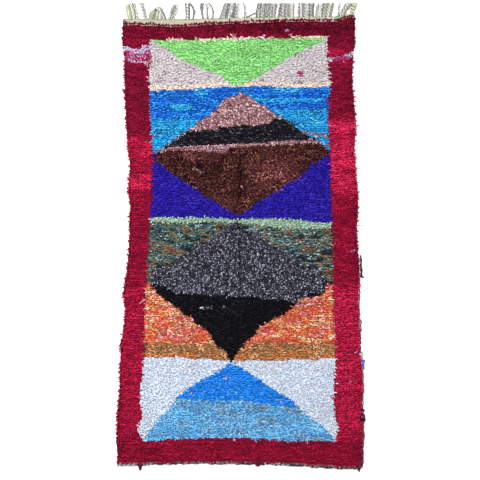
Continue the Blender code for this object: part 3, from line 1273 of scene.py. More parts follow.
@dataclass
class Pile:
    """The knotted pile, one piece for each lot of rags.

    Attributes:
        outline: the rug's edges.
        design: the pattern.
        knot_pitch: spacing of knots in a row.
        row_pitch: spacing of rows.
        cover: shares of the solid's width and length that the grid of knots is counted on.
        jitter: how far knots stray along the row, and across it, as shares of the pitch.
        ragged: how far the edge between two lots strays.
        insets: how far the outer knots stand back from the left, right, plain and fringe edges, or past
            them where it is below 0.
        lying: mean number of bent rag ends at a knot.
        standing: mean number of short rag ends at a knot.
        turned: share of the two-way rags that turn back where they would reach over another lot.
        rim: width of the strip along the edges whose rags point outwards.
        splay: how far those rags stray from that, in degrees.
        kept: share of their length that they keep at the left, right, plain and fringe edges.
        ground: height of the knots.
        root_spread: how far a rag starts from its knot, across and along.
        swing: how far a rag bends sideways.
        seed: where the random numbers start.
    """

    outline: Outline
    design: Design
    knot_pitch: float = 0.0106
    row_pitch: float = 0.0126
    cover: tuple[float, float] = (0.96, 0.97)
    jitter: tuple[float, float] = (0.16, 0.08)
    ragged: float = 0.0011
    insets: tuple[float, ...] = (0.005, 0.002, 0.004, -0.006)
    lying: float = 2.15
    standing: float = 0.75
    turned: float = 0.6
    rim: float = 0.014
    splay: float = 42.0
    kept: tuple[float, ...] = (0.78, 0.76, 0.80, 0.80)
    ground: float = 0.0035
    root_spread: tuple[float, float] = (0.0026, 0.0016)
    swing: float = 0.0028
    seed: int = 20

    def __post_init__(self) -> None:
        """Ties the knots."""
        box_low, box_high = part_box("rug")
        self.columns = round((box_high.x - box_low.x) * self.cover[0] / self.knot_pitch)
        self.rows = round((box_high.y - box_low.y) * self.cover[1] / self.row_pitch)
        chance = np.random.default_rng(self.seed)
        row, place = np.meshgrid(np.arange(self.rows), np.arange(self.columns), indexing="ij")
        row, place = row.ravel(), place.ravel()
        stagger = 0.25 + 0.5 * (row % 2)
        u = (place + stagger + chance.normal(0, self.jitter[0], len(row))) / self.columns
        v = (row + 0.5) / self.rows
        self.x, self.row_y = self.outline.spot(np.clip(u, 0, 1), np.clip(v, 0, 1), self.insets)
        self.y = self.row_y + self.row_pitch * chance.normal(0, self.jitter[1], len(row))
        self.row = row
        across, along = self.measures(self.x, self.y)
        ragged = chance.normal(0, self.ragged, (2, len(row)))
        self.lot = self.design.lots(across + ragged[0], along + ragged[1])
        self.across, self.along = across, along

    def measures(self, x: Array, y: Array) -> tuple[Array, Array]:
        """Turns x and y into the design's across and along."""
        return x - self.outline.middle, y - self.outline.plain_end

    def picks(self, lot: Lot, here: Array, drift: Array, chance: Chance) -> Array:
        """Chooses the dye of each rag end of a lot.

        Args:
            lot: the lot.
            here: the knot that each one is tied in.
            drift: the knots' slow changes, for each rag end.
            chance: random numbers.

        Returns:
            A share of the lot's ramp for each rag end.
        """
        finish = FINISHES[lot]
        own = chance.random(len(here))
        if not finish.blended:
            in_streak = chance.random(len(here)) < finish.streak
            return np.where(in_streak, np.clip(drift + 0.16 * (own - 0.5), 0, 1), own)
        tone = self.red_tone(lot, here)
        row = chance.random(self.rows)[self.row[here]]
        return np.clip(tone + 0.08 * (row - 0.5) + 0.14 * (drift - 0.5) + 0.18 * (own - 0.5), 0, 1)

    def drift(self, here: Array, finish: "RagFinish", chance: Chance) -> Array:
        """Gives numbers that change slowly along the rows, each of them equally common.

        Args:
            here: the numbers of the knots.
            finish: the lot's finish, with the size of a streak.
            chance: random numbers.

        Returns:
            A number from 0 to 1 for each knot.
        """
        across = (self.across[here] + 1.0) / finish.run
        along = self.along[here] / (finish.rows * self.row_pitch)
        lattice = chance.random((int(along.max()) + 3, int(across.max()) + 3))
        x, y = across.astype(int), along.astype(int)
        fx, fy = across - x, along - y
        fx, fy = fx * fx * (3 - 2 * fx), fy * fy * (3 - 2 * fy)
        low = lattice[y, x] * (1 - fx) + lattice[y, x + 1] * fx
        high = lattice[y + 1, x] * (1 - fx) + lattice[y + 1, x + 1] * fx
        value = low * (1 - fy) + high * fy
        return (np.argsort(np.argsort(value)) + 0.5) / len(value)

    def red_tone(self, lot: Lot, here: Array) -> Array:
        """Gives how bright the border's red is.

        Args:
            lot: a lot of the border.
            here: the numbers of its knots.

        Returns:
            The tone of each knot, from 0 to 1.
        """
        if lot is Lot.PLAIN_BORDER:
            return np.full(len(here), PLAIN_END_TONE)
        if lot is Lot.FRINGE_BORDER:
            return FRINGE_END_TONE + 0.10 * (self.along[here] < 2.33)
        return column(RED_TONES, self.along[here], 1 if lot is Lot.LEFT_BORDER else 2)

    def lie(self, cut: Cut, here: Array, chance: Chance) -> tuple[Array, Array]:
        """Chooses the way that each rag end lies, which is outwards along the rug's edges.

        Args:
            cut: how the rags are cut.
            here: the knot that each one is tied in.
            chance: random numbers.

        Returns:
            The angle from the X axis and the share of the length that it keeps.
        """
        angle = np.radians(cut.heading + chance.normal(0, cut.spread, len(here)))
        if cut.two_way:
            angle += math.pi * chance.integers(0, 2, len(here))
            reach = 0.75 * cut.length
            tip_across = self.across[here] + reach * np.cos(angle)
            tip_along = self.along[here] + reach * np.sin(angle)
            strays = self.design.lots(tip_across, tip_along) != self.lot[here]
            angle += math.pi * (strays & (chance.random(len(here)) < self.turned))
        share = np.ones(len(here))
        stray = chance.normal(0, math.radians(self.splay), len(here))
        x, y = self.x[here], self.y[here]
        for gap, way, kept in (
            (x - self.outline.left(y), math.pi, self.kept[0]),
            (self.outline.right(y) - x, 0.0, self.kept[1]),
            (y - self.outline.low(x), -math.pi / 2, self.kept[2]),
            (self.outline.high(x) - y, math.pi / 2, self.kept[3]),
        ):
            angle = np.where(gap < self.rim, way + stray, angle)
            share = np.where(gap < self.rim, kept, share)
        return angle, share

    def at_side(self, here: Array) -> Array:
        """Tells which knots stand right at the left or right edge."""
        x, y = self.x[here], self.y[here]
        return np.minimum(x - self.outline.left(y), self.outline.right(y) - x) < 0.9 * self.rim

    def strip_soup(self, lot: Lot, here: Array) -> Soup:
        """Makes the rag ends of one lot.

        Args:
            lot: the lot.
            here: the numbers of its knots.

        Returns:
            The mesh data.
        """
        chance = np.random.default_rng(self.seed + 1 + lot.number)
        drift = self.drift(here, FINISHES[lot], chance)
        parts = []
        for bend, mean in ((LYING, self.lying), (STANDING, self.standing)):
            ends = int(mean) + (chance.random(len(here)) < mean % 1)
            if bend is LYING:
                ends = ends + self.at_side(here)
            parts.append((bend, np.repeat(np.arange(len(here)), ends)))
        total = sum(len(which) for _, which in parts)
        soup = Soup()
        first = 0
        for bend, which in parts:
            knots = here[which]
            rings = self.rings(CUTS[lot], bend, knots, chance)
            pick = self.picks(lot, knots, drift[which], chance)
            shade = self.design.shade(self.lot[knots], self.across[knots], self.along[knots])
            tuft = chance.random(len(which))
            self.stitch(soup, rings, bend, first, total, pick=pick, tuft=tuft, shade=shade)
            # valley: 0 on the knot's row line and 1 halfway to the next, where the finish paints the shadow
            # between rows
            part = (rings[..., 1] - self.row_y[knots][:, None, None]) / self.row_pitch
            soup.readings.setdefault("valley", []).append(2.0 * np.abs(part - np.round(part)).ravel())
            first += len(which)
        return soup

    def rings(self, cut: Cut, bend: Bend, knots: Array, chance: Chance) -> Array:
        """Places the sections of rag ends.

        Args:
            cut: how the rags are cut.
            bend: how these ends stand.
            knots: the knot that each one is tied in.
            chance: random numbers.

        Returns:
            The sections' corners, as (rag end, section, corner, 3).
        """
        number = len(knots)
        angle, share = self.lie(cut, knots, chance)
        way = np.stack([np.cos(angle), np.sin(angle), np.zeros(number)], 1)
        side = np.stack([-np.sin(angle), np.cos(angle), np.zeros(number)], 1)
        root = np.stack([self.x[knots], self.y[knots], np.full(number, self.ground)], 1)
        root[:, :2] += chance.normal(0, 1, (number, 2)) * self.root_spread
        length = cut.length * share * chance.uniform(0.75, 1.2, number)
        rise = cut.rise * chance.uniform(0.66, 1.16, number)
        flat = np.sqrt(np.maximum(length**2 - rise**2, (0.35 * length) ** 2))
        reach = flat * chance.uniform(*bend.reach, number)
        swing = chance.normal(0, 1.0, number)
        droop = chance.uniform(*bend.droop, number)
        width = cut.width * chance.uniform(0.8, 1.25, number)
        roll = chance.normal(0, 0.5, number)
        found = []
        for distance, lift, turn, size, _ in bend.sections:
            centre = root + way * (reach * distance)[:, None] + side * (self.swing * swing * turn)[:, None]
            centre[:, 2] += rise * lift * (droop if lift == 1.0 else 1.0)
            found.append(self.ring(centre, way, side, 0.5 * width * size, roll + 0.5 * turn * swing))
        return np.stack(found, 1)

    @staticmethod
    def ring(centre: Array, way: Array, side: Array, half: Array, roll: Array) -> Array:
        """Makes the three corners of a rolled rag's section, tilted with the strip.

        Args:
            centre: the section's middle.
            way: the way that the strip lies.
            side: the way across it.
            half: half the strip's width.
            roll: how far it is turned about its length.

        Returns:
            The corners, as (rag end, corner, 3).
        """
        tilt = np.array([0.0, 0.0, 1.0]) - 0.55 * way
        tilt /= np.linalg.norm(tilt, axis=1, keepdims=True)
        corners = []
        for turn, stretch in ((0.5 * math.pi, 0.62), (math.pi + 0.45, 1.0), (-0.45, 1.0)):
            angle = turn + roll
            flat = side * np.cos(angle)[:, None] + tilt * (stretch * np.sin(angle))[:, None]
            corners.append(centre + flat * half[:, None])
        return np.stack(corners, 1)

    @staticmethod
    def stitch(soup: Soup, rings: Array, bend: Bend, first: int, total: int, **readings: Array) -> None:
        """Joins the sections into rag ends with a closed tip, and gives each its own cell of a map.

        Args:
            soup: what they are added to.
            rings: the sections' corners, as (rag end, section, corner, 3).
            bend: how these ends stand.
            first: number of the first one's cell.
            total: the number of cells.
            readings: numbers by name, for each rag end.
        """
        number, sections = rings.shape[:2]
        steps = range(sections - 1)
        sides = ((0, 1), (1, 2), (2, 0))
        quads = [(a + 3 * s, b + 3 * s, b + 3 * s + 3, a + 3 * s + 3) for s in steps for a, b in sides]
        cap = np.array([(0, 1, 2)]) + 3 * (sections - 1)
        shift = (3 * sections * np.arange(number))[:, None, None]
        values = {name: np.repeat(value, 3 * sections) for name, value in readings.items()}
        soup.add(
            rings.reshape(-1, 3),
            (np.array(quads)[None] + shift).reshape(-1, 4),
            (cap[None] + shift).reshape(-1, 3),
            tip=np.tile(np.repeat([section[-1] for section in bend.sections], 3), number),
            **values,
        )
        grid = math.ceil(math.sqrt(total))
        place = first + np.arange(number)
        cell = np.stack([place % grid, place // grid], 1) / grid
        deep = 0.8 / (sections - 1)
        wall = []
        for low, high in ((deep * s, deep * (s + 1)) for s in steps):
            for left, right in ((k / 3, (k + 1) / 3) for k in range(3)):
                wall.append(((left, low), (right, low), (right, high), (left, high)))
        lid = [((0.1, 0.85), (0.9, 0.85), (0.5, 1.0))]
        for maps, faces in ((soup.quad_maps, wall), (soup.triangle_maps, lid)):
            maps.append((cell[:, None, None] + np.array(faces)[None] * 0.94 / grid).reshape(-1, 2))

    def build(self) -> list[Piece]:
        """Makes the pile's pieces.

        Returns:
            One object for each lot.
        """
        red = RED_RAGS.material("red_rags")
        pieces = []
        for lot in LOTS:
            here = np.flatnonzero(self.lot == lot.number)
            material = red if FINISHES[lot] is RED_RAGS else FINISHES[lot].material(lot.value + "_rags")
            pieces.append(self.strip_soup(lot, here).build("pile_" + lot.value, material))
        return pieces


# --- the woven ground

@dataclass
class Ground:
    """The woven ground under the pile, with the bare bands at its ends.

    Attributes:
        outline: the rug's edges.
        pile: the pile, for the colours of the knots' backs.
        thick: the weave's thickness.
        insets: how far it stands back from the left, right, plain and fringe edges.
        twisted_end: its depth past the pile at the plain end.
        under_pile_shade: painted shade on its top under the pile, as the share of brightness that its colours
            keep there.
        band_colours: colours of the bare band, outwards.
        plain_colour: colour of the bare strip at the plain end.
        rim_colour: colour of its thin edge.
    """

    outline: Outline
    pile: Pile
    thick: float = 0.004
    insets: tuple[float, ...] = (0.005, 0.0, 0.005, 0.005)
    twisted_end: float = 0.009
    under_pile_shade: float = 0.95
    band_colours: tuple[Rgb, ...] = ((172, 150, 140), (164, 156, 134), (148, 154, 130))
    plain_colour: Rgb = (120, 116, 112)
    rim_colour: Rgb = (110, 104, 100)

    def build(self) -> Piece:
        """Makes the sheet.

        Returns:
            The object: a thin closed slab of rows and columns of knots.
        """
        columns, rows = self.pile.columns, self.pile.rows
        u = np.arange(columns + 1) / columns
        v = np.arange(rows + 1) / rows
        grid_u, grid_v = np.meshgrid(u, v, indexing="xy")
        x, y = self.outline.spot(grid_u.ravel(), grid_v.ravel(), self.insets)
        x, y = x.reshape(rows + 1, -1), y.reshape(rows + 1, -1)
        band = self.outline.band(x[-1]) - 0.0005
        low = self.outline.low(x[0]) - self.twisted_end
        extra = [y[-1] + share * (band - y[-1]) for share in (1 / 3, 2 / 3, 1.0)]
        y = np.vstack([low, y, *extra])
        x = np.vstack([x[0], x, x[-1], x[-1], x[-1]])
        return self.slab(x, y, rows)

    def slab(self, x: Array, y: Array, rows: int) -> Piece:
        """Closes a grid into a slab and colours its cells.

        Args:
            x: the grid's places across.
            y: the grid's places along.
            rows: the rows of knots, without the bare bands.

        Returns:
            The object.
        """
        high, wide = x.shape
        top = np.stack([x.ravel(), y.ravel(), np.full(x.size, self.thick)], 1)
        bottom = top * (1, 1, 0)
        number = np.arange(x.size).reshape(high, wide)
        around = [number[:-1, :-1], number[:-1, 1:], number[1:, 1:], number[1:, :-1]]
        upper = np.stack(around, -1).reshape(-1, 4)
        lower = upper[:, ::-1] + x.size
        rim = np.concatenate([number[0], number[1:, -1], number[-1, -2::-1], number[-2:0:-1, 0]])
        after = np.roll(rim, -1)
        wall = np.stack([rim + x.size, after + x.size, after, rim], 1)
        soup = Soup()
        soup.add(np.concatenate([top, bottom]), np.concatenate([upper, lower, wall]), np.zeros((0, 3), int))
        piece = soup.build("ground_weave", GroundFinish().material("ground_weave"))
        piece.data.shade_flat()
        self.colour_cells(piece, x, y, rows, len(wall))
        return piece

    def colour_cells(self, piece: Piece, x: Array, y: Array, rows: int, rim: int) -> None:
        """Stores each cell's dye, whether it is bare weave, and its place in the weave.

        Args:
            piece: the slab.
            x: the grid's places across.
            y: the grid's places along.
            rows: the rows of knots.
            rim: the number of faces round the edge.
        """
        middle_x = (x[:-1, :-1] + x[1:, 1:]).ravel() / 2
        middle_y = (y[:-1, :-1] + y[1:, 1:]).ravel() / 2
        lots = self.pile.design.lots(*self.pile.measures(middle_x, middle_y))
        shade = self.pile.design.shade(lots, *self.pile.measures(middle_x, middle_y))
        means = np.array([FINISHES[lot].mean() for lot in LOTS])
        dye = (means[lots] * (1 + shade)[:, None]).reshape(x.shape[0] - 1, x.shape[1] - 1, 3)
        root_shades = np.array([FINISHES[lot].root_shade for lot in LOTS])
        # painted shade: the top under the pile is darkened, more so where the lot's rags are darkened at the
        # root
        light = self.under_pile_shade * (1 - root_shades)[lots].reshape(dye.shape[:2])
        for number, colour in enumerate(self.band_colours):
            dye[rows + 1 + number] = linear(colour)
        dye[0] = linear(self.plain_colour)
        bare = np.zeros(dye.shape[:2])
        bare[0] = 1.0
        bare[rows + 1:] = 1.0
        upper = dye.copy()
        upper[1:rows + 1] *= light[1:rows + 1, :, None]
        edge = np.tile(linear(self.rim_colour), (rim, 1))
        faces = np.concatenate([upper.reshape(-1, 3), dye.reshape(-1, 3), edge])
        corners = np.repeat(np.concatenate([faces, np.ones((len(faces), 1))], 1), 4, axis=0)
        layer = piece.data.attributes.new("dye", "FLOAT_COLOR", "CORNER")
        layer.data.foreach_set("color", corners.astype(np.float32).ravel())
        flat = np.concatenate([np.ones(bare.size), bare.ravel(), np.ones(rim)])
        layer = piece.data.attributes.new("bare", "FLOAT", "FACE")
        layer.data.foreach_set("value", flat.astype(np.float32))
        self.map_weave(piece, x.shape, rim)

    @staticmethod
    def map_weave(piece: Piece, shape: tuple[int, int], rim: int) -> None:
        """Gives the slab a map in knots across and rows along.

        Args:
            piece: the slab.
            shape: the grid's rows and columns of points.
            rim: the number of faces round the edge.
        """
        high, wide = shape
        row, place = np.meshgrid(np.arange(high - 1), np.arange(wide - 1), indexing="ij")
        square = np.array([(0, 0), (1, 0), (1, 1), (0, 1)], float)
        upper = np.stack([place.ravel(), row.ravel()], 1)[:, None] + square
        strip = np.arange(rim)[:, None, None] * (1.0, 0.0) + square
        places = np.concatenate([upper, upper[:, ::-1], strip]).reshape(-1, 2)
        layer = piece.data.uv_layers.new(name="weave")
        layer.uv.foreach_set("vector", places.astype(np.float32).ravel())


# --- cords and fringe

@dataclass(frozen=True)
class Ply:
    """How a rope of yarn is plied.

    Attributes:
        strands: how many yarns twist round each other.
        yarn: a yarn's radius.
        pitch: length of one turn.
        sides: corners of a yarn's section.
    """

    strands: int = 3
    yarn: float = 0.0019
    pitch: float = 0.026
    sides: int = 6

    def wind(
        self, soup: Soup, paths: Array, dyes: Array, taper: Array, chance: Chance
    ) -> None:
        """Winds yarns round each path and adds them to the soup.

        Args:
            soup: what they are added to.
            paths: the ropes' middles, as (rope, step, 3).
            dyes: a colour for each rope and strand, as (rope, strand, 3).
            taper: the radius at each step, as a share.
            chance: random numbers.
        """
        count = len(paths)
        _, side, up = frames_along(paths)
        gaps = np.linalg.norm(np.diff(paths, axis=1), axis=2)
        run = np.concatenate([np.zeros((count, 1)), np.cumsum(gaps, axis=1)], axis=1)
        offset = 0.0 if self.strands == 1 else self.yarn / math.sin(math.pi / self.strands)
        start = chance.uniform(0, 2 * math.pi, (count, 1))
        for strand in range(self.strands):
            angle = start + run * 2 * math.pi / self.pitch + 2 * math.pi * strand / self.strands
            swing = side * np.cos(angle)[..., None] + up * np.sin(angle)[..., None]
            line = paths + 0.94 * offset * swing * taper[None, :, None]
            points, quads, ends = tubes(line, self.yarn * np.repeat(taper[None], count, 0), self.sides)
            each = len(points) // count
            soup.add(
                points,
                quads,
                ends,
                dye=np.repeat(dyes[:, strand], each, axis=0),
                tuft=np.repeat(chance.random(count), each),
            )


# The free warp ends, in bunches. Columns: first and last root across, first and last tip across, how far the
# first and last stop short, number of ropes, bow sideways, share of green-yellow yarn.
BUNCHES = (
    (-0.593, -0.560, -0.600, -0.580, 0.012, 0.002, 4, -0.004, 0.80),
    (-0.563, -0.535, -0.586, -0.552, 0.000, 0.000, 5, 0.000, 0.15),
    (-0.507, -0.494, -0.526, -0.508, 0.000, 0.000, 3, 0.000, 0.00),
    (-0.487, -0.447, -0.470, -0.425, 0.040, 0.018, 4, 0.000, 0.50),
    (-0.447, -0.408, -0.432, -0.424, 0.018, 0.018, 5, 0.004, 0.20),
    (-0.404, -0.388, -0.436, -0.425, 0.030, 0.026, 2, 0.003, 0.00),
    (-0.386, -0.344, -0.357, -0.323, 0.008, 0.008, 4, 0.002, 0.10),
    (-0.288, -0.265, -0.290, -0.265, 0.000, 0.000, 4, 0.000, 0.00),
    (-0.252, -0.247, -0.262, -0.258, 0.000, 0.002, 2, 0.012, 0.00),
    (-0.200, -0.189, -0.208, -0.189, 0.000, 0.000, 3, -0.002, 0.00),
    (-0.178, -0.165, -0.176, -0.164, 0.000, 0.000, 2, 0.000, 0.00),
    (-0.150, -0.140, -0.168, -0.152, 0.003, 0.000, 3, 0.010, 0.10),
    (-0.108, -0.002, -0.082, 0.006, 0.000, 0.000, 14, 0.000, 0.05),
    (0.020, 0.036, 0.014, 0.030, 0.000, 0.000, 3, 0.008, 0.00),
    (0.037, 0.039, 0.084, 0.086, 0.052, 0.052, 1, 0.000, 0.00),
    (0.083, 0.192, 0.096, 0.197, 0.000, 0.000, 15, -0.002, 0.05),
    (0.200, 0.290, 0.212, 0.288, 0.000, 0.000, 13, 0.000, 0.08),
    (0.308, 0.396, 0.310, 0.391, 0.000, 0.000, 13, 0.000, 0.05),
    (0.400, 0.489, 0.412, 0.504, 0.000, 0.000, 13, 0.000, 0.30),
    (0.517, 0.524, 0.529, 0.536, 0.000, 0.000, 2, 0.000, 0.10),
    (0.528, 0.560, 0.565, 0.600, 0.000, 0.000, 6, 0.000, 0.10),
    (0.586, 0.607, 0.600, 0.625, 0.000, 0.000, 4, 0.000, 0.80),
)


@dataclass
class Fringe:
    """The free warp ends, twisted into ropes that lie on the floor, with loose yarns between them.

    Attributes:
        outline: the rug's edges.
        rope: how the ropes are plied.
        loose: how the loose yarns are plied.
        steps: points along a rope.
        curl: how far the ropes swing from side to side on their way.
        shy: how far the longest ropes stop short of the solid's end, or run past it where it is below 0.
        strays: number of loose yarns for each rope.
        height: height of a rope's middle at its ends.
        arch: how much higher it may be halfway.
        greys: colours of the plain yarns.
        green_yellows: colours of the others.
        seed: where the random numbers start.
    """

    outline: Outline
    rope: Ply = Ply(strands=2, yarn=0.0025, pitch=0.017, sides=5)
    loose: Ply = Ply(strands=2, yarn=0.0009, pitch=0.009, sides=4)
    steps: int = 18
    curl: float = 0.0016
    shy: float = -0.002
    strays: float = 1.3
    height: float = 0.0056
    arch: float = 0.0014
    greys: tuple[Rgb, ...] = (
        (148, 148, 146), (174, 172, 168), (114, 114, 113), (92, 92, 92), (206, 203, 196),
    )
    green_yellows: tuple[Rgb, ...] = ((176, 182, 136), (154, 162, 134))
    seed: int = 70

    def ropes(self, chance: Chance) -> tuple[Array, Array]:
        """Lays the ropes' middles.

        Args:
            chance: random numbers.

        Returns:
            Their paths, as (rope, step, 3), and each one's share of green-yellow yarn.
        """
        paths, greens = [], []
        share = np.linspace(0, 1, self.steps)
        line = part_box("warp_fringe")[1].y - self.shy
        for root_a, root_b, tip_a, tip_b, short_a, short_b, count, bow, green in BUNCHES:
            for at in (np.arange(count) + 0.5) / count:
                root = self.outline.middle + root_a + at * (root_b - root_a) + chance.normal(0, 0.0008)
                tip = self.outline.middle + tip_a + at * (tip_b - tip_a) + chance.normal(0, 0.0022)
                start = float(self.outline.band(np.array([root]))[0]) - 0.004
                end = line - short_a - at * (short_b - short_a) - abs(chance.normal(0, 0.0012))
                sway = bow + chance.normal(0, 0.0018)
                path = np.zeros((self.steps, 3))
                path[:, 0] = root + (tip - root) * share**1.3 + sway * np.sin(math.pi * share)
                turns = chance.uniform(1.6, 3.4) * 2 * math.pi * share + chance.uniform(0, 6)
                path[:, 0] += self.curl * chance.uniform(0.4, 1.6) * share**0.5 * np.sin(turns)
                path[:, 1] = start + (end - start) * share
                path[:, 2] = self.height + self.arch * np.sin(math.pi * share) * chance.uniform(0, 1)
                paths.append(path)
                greens.append(green)
        return np.array(paths), np.array(greens)

    def yarn_colours(self, greens: Array, strands: int, chance: Chance) -> Array:
        """Chooses the colour of each strand.

        Args:
            greens: each rope's share of green-yellow yarn.
            strands: how many strands a rope has.
            chance: random numbers.

        Returns:
            The colours, as (rope, strand, 3).
        """
        plain = np.array([linear(colour) for colour in self.greys])
        green = np.array([linear(colour) for colour in self.green_yellows])
        shape = (len(greens), strands)
        colours = plain[chance.integers(0, len(plain), shape)]
        tinted = chance.random(shape) < greens[:, None]
        colours[tinted] = green[chance.integers(0, len(green), int(tinted.sum()))]
        return colours

    def build(self) -> list[Piece]:
        """Makes the ropes and the loose yarns.

        Returns:
            Both objects.
        """
        chance = np.random.default_rng(self.seed)
        material = YarnFinish().material("warp_yarn")
        paths, greens = self.ropes(chance)
        soup = Soup()
        taper = np.interp(np.linspace(0, 1, self.steps), [0, 0.15, 0.85, 1], [1.1, 1.0, 1.0, 0.8])
        colours = self.yarn_colours(greens, self.rope.strands, chance)
        self.rope.wind(soup, paths, colours, taper, chance)
        ropes = soup.build("fringe_ropes", material)
        pick = chance.integers(0, len(paths), int(self.strays * len(paths)))
        strays = paths[pick].copy()
        share = np.linspace(0, 1, self.steps)
        sway = chance.normal(0, 0.009, (len(pick), 1)) * share**1.5
        wiggle = chance.normal(0, 0.003, (len(pick), 1))
        strays[:, :, 0] += sway + wiggle * np.sin(2 * math.pi * share + chance.uniform(0, 6))
        strays[:, :, 2] = 0.0028 + 0.0060 * np.sin(math.pi * share) ** 2 * chance.random((len(pick), 1))
        soup = Soup()
        colours = self.yarn_colours(greens[pick] + 0.1, self.loose.strands, chance)
        self.loose.wind(soup, strays, colours, np.ones(self.steps), chance)
        return [ropes, soup.build("fringe_loose_yarns", material)]


@dataclass
class EndBand:
    """The plain-woven band between the pile and the fringe: twined weft yarns in relief over the ground.

    Attributes:
        outline: the rug's edges.
        ply: how the wefts are twined.
        step: spacing of points along them.
        inset: how far they stop short of the pile's sides.
        gaps: how far the first is past the pile's edge, and the last short of the band's.
        height: height of their middles.
        seed: where the random numbers start.
        colours: the two yarns of each weft, outwards.
    """

    outline: Outline
    ply: Ply = Ply(strands=2, yarn=0.0017, pitch=0.013, sides=4)
    step: float = 0.0048
    inset: float = 0.014
    gaps: tuple[float, float] = (0.007, 0.003)
    height: float = 0.0052
    seed: int = 90
    colours: tuple[tuple[Rgb, Rgb], ...] = (
        ((200, 164, 160), (168, 126, 126)),
        ((196, 180, 166), (180, 160, 148)),
        ((198, 184, 168), (172, 168, 146)),
        ((178, 178, 156), (156, 162, 142)),
        ((158, 168, 146), (176, 174, 156)),
    )

    def build(self) -> Piece:
        """Makes the weft yarns.

        Returns:
            The object.
        """
        chance = np.random.default_rng(self.seed)
        y = self.outline.fringe_end
        left = float(self.outline.left(np.array([y]))[0]) + self.inset
        right = float(self.outline.right(np.array([y]))[0]) - self.inset
        x = np.arange(left, right, self.step)
        low = self.outline.high(x) + self.gaps[0]
        high = self.outline.band(x) - self.gaps[1]
        paths = []
        for row in range(len(self.colours)):
            wander = np.interp(x, np.linspace(left, right, 40), chance.normal(0, 0.0009, 40))
            path = np.zeros((len(x), 3))
            path[:, 0] = x
            path[:, 1] = low + (high - low) * row / (len(self.colours) - 1) + wander
            path[:, 2] = self.height
            paths.append(path)
        dyes = np.array([[linear(colour) for colour in pair] for pair in self.colours])
        soup = Soup()
        self.ply.wind(soup, np.array(paths), dyes, np.ones(len(x)), chance)
        return soup.build("end_band_wefts", YarnFinish().material("end_band_yarn"))


# The twisted finish of the plain end, in lengths. Columns: from across, to across, how far outside the pile's
# edge, share of the full thickness, three colours.
PLAIN_END_LENGTHS = (
    (-0.633, -0.553, 0.007, 1.44, (150, 154, 158), (84, 86, 90), (186, 188, 190)),
    (-0.553, -0.511, 0.007, 1.12, (92, 16, 36), (54, 20, 30), (104, 24, 42)),
    (-0.511, -0.462, 0.007, 1.19, (128, 152, 166), (84, 100, 112), (150, 158, 166)),
    (-0.462, -0.289, 0.003, 0.69, (52, 52, 56), (92, 98, 94), (60, 18, 30)),
    (-0.289, -0.145, 0.003, 0.56, (104, 116, 112), (78, 84, 80), (112, 112, 110)),
    (-0.145, -0.120, 0.007, 1.06, (24, 24, 28), (40, 40, 44), (24, 22, 26)),
    (-0.120, 0.010, 0.007, 1.12, (92, 98, 100), (38, 38, 42), (150, 152, 150)),
    (0.010, 0.070, 0.007, 1.19, (22, 22, 26), (110, 112, 114), (44, 46, 50)),
    (0.070, 0.130, 0.007, 1.00, (92, 16, 36), (54, 20, 30), (112, 30, 50)),
    (0.130, 0.172, 0.003, 0.62, (70, 20, 34), (34, 30, 34), (88, 88, 90)),
    (0.172, 0.268, 0.007, 1.25, (206, 206, 202), (22, 22, 24), (120, 122, 122)),
    (0.268, 0.331, 0.007, 1.25, (20, 20, 24), (104, 106, 108), (36, 38, 40)),
    (0.331, 0.427, 0.007, 1.31, (18, 20, 22), (192, 192, 188), (84, 90, 90)),
    (0.427, 0.496, 0.007, 1.19, (40, 44, 44), (20, 20, 22), (100, 104, 104)),
    (0.496, 0.607, 0.007, 1.12, (112, 44, 62), (150, 150, 146), (78, 20, 40)),
    (0.607, 0.640, 0.007, 1.25, (170, 110, 130), (34, 26, 30), (20, 18, 20)),
)

# The overcast selvedges at the sides, in lengths, with the columns of PLAIN_END_LENGTHS but from along and to
# along. Under the pile they are thin and red.
HIDDEN = (-0.011, 0.75, (70, 12, 28), (44, 14, 24), (90, 16, 34))
RIGHT_LENGTHS = (
    (0.020, 0.070, 0.003, 1.00, (40, 34, 40), (22, 20, 24), (70, 30, 44)),
    (0.070, 0.125, 0.003, 0.90, (96, 44, 60), (60, 30, 44), (44, 30, 40)),
    (0.125, 0.255, 0.003, 0.95, (112, 114, 116), (90, 84, 88), (126, 90, 100)),
    (0.255, 0.290, 0.010, 1.35, (16, 16, 20), (40, 40, 44), (18, 18, 22)),
    (0.290, 0.345, 0.003, 0.90, (40, 40, 44), (26, 22, 26), (90, 20, 36)),
    (0.345, 0.470, 0.003, 0.70, (160, 110, 120), (110, 20, 40), (100, 90, 92)),
    (0.470, 0.540, 0.003, 0.90, (96, 132, 142), (120, 130, 136), (80, 84, 110)),
    (0.540, 0.595, 0.010, 1.45, (84, 108, 204), (104, 132, 222), (92, 98, 150)),
    (0.595, 0.625, 0.010, 1.35, (190, 216, 180), (150, 172, 150), (200, 200, 190)),
    (0.625, 0.740, 0.003, 0.90, (22, 22, 26), (60, 60, 64), (34, 30, 34)),
    (0.740, 0.790, 0.010, 1.30, (170, 156, 138), (124, 114, 104), (70, 70, 68)),
    (0.790, 0.860, 0.003, 0.80, (150, 150, 152), (120, 30, 50), (130, 136, 138)),
    (0.860, 0.930, 0.003, 0.90, (112, 128, 136), (80, 84, 90), (136, 142, 140)),
    (0.930, 0.975, 0.003, 0.90, (14, 14, 18), (30, 30, 34), (70, 20, 30)),
    (0.975, 1.030, 0.003, 0.95, (176, 140, 126), (150, 110, 96), (60, 40, 40)),
    (1.030, 1.090, 0.010, 1.35, (16, 16, 24), (30, 30, 50), (40, 36, 44)),
    (1.090, 1.135, 0.010, 1.30, (44, 40, 110), (100, 120, 60), (28, 28, 60)),
    (1.135, 2.390, *HIDDEN),
)
LEFT_LENGTHS = (
    (0.020, 0.160, -0.003, 1.00, (34, 22, 30), (60, 14, 30), (22, 20, 26)),
    (0.160, 0.640, *HIDDEN),
    (0.640, 0.690, -0.003, 1.00, (16, 16, 20), (30, 26, 30), (60, 14, 28)),
    (0.690, 2.390, *HIDDEN),
)

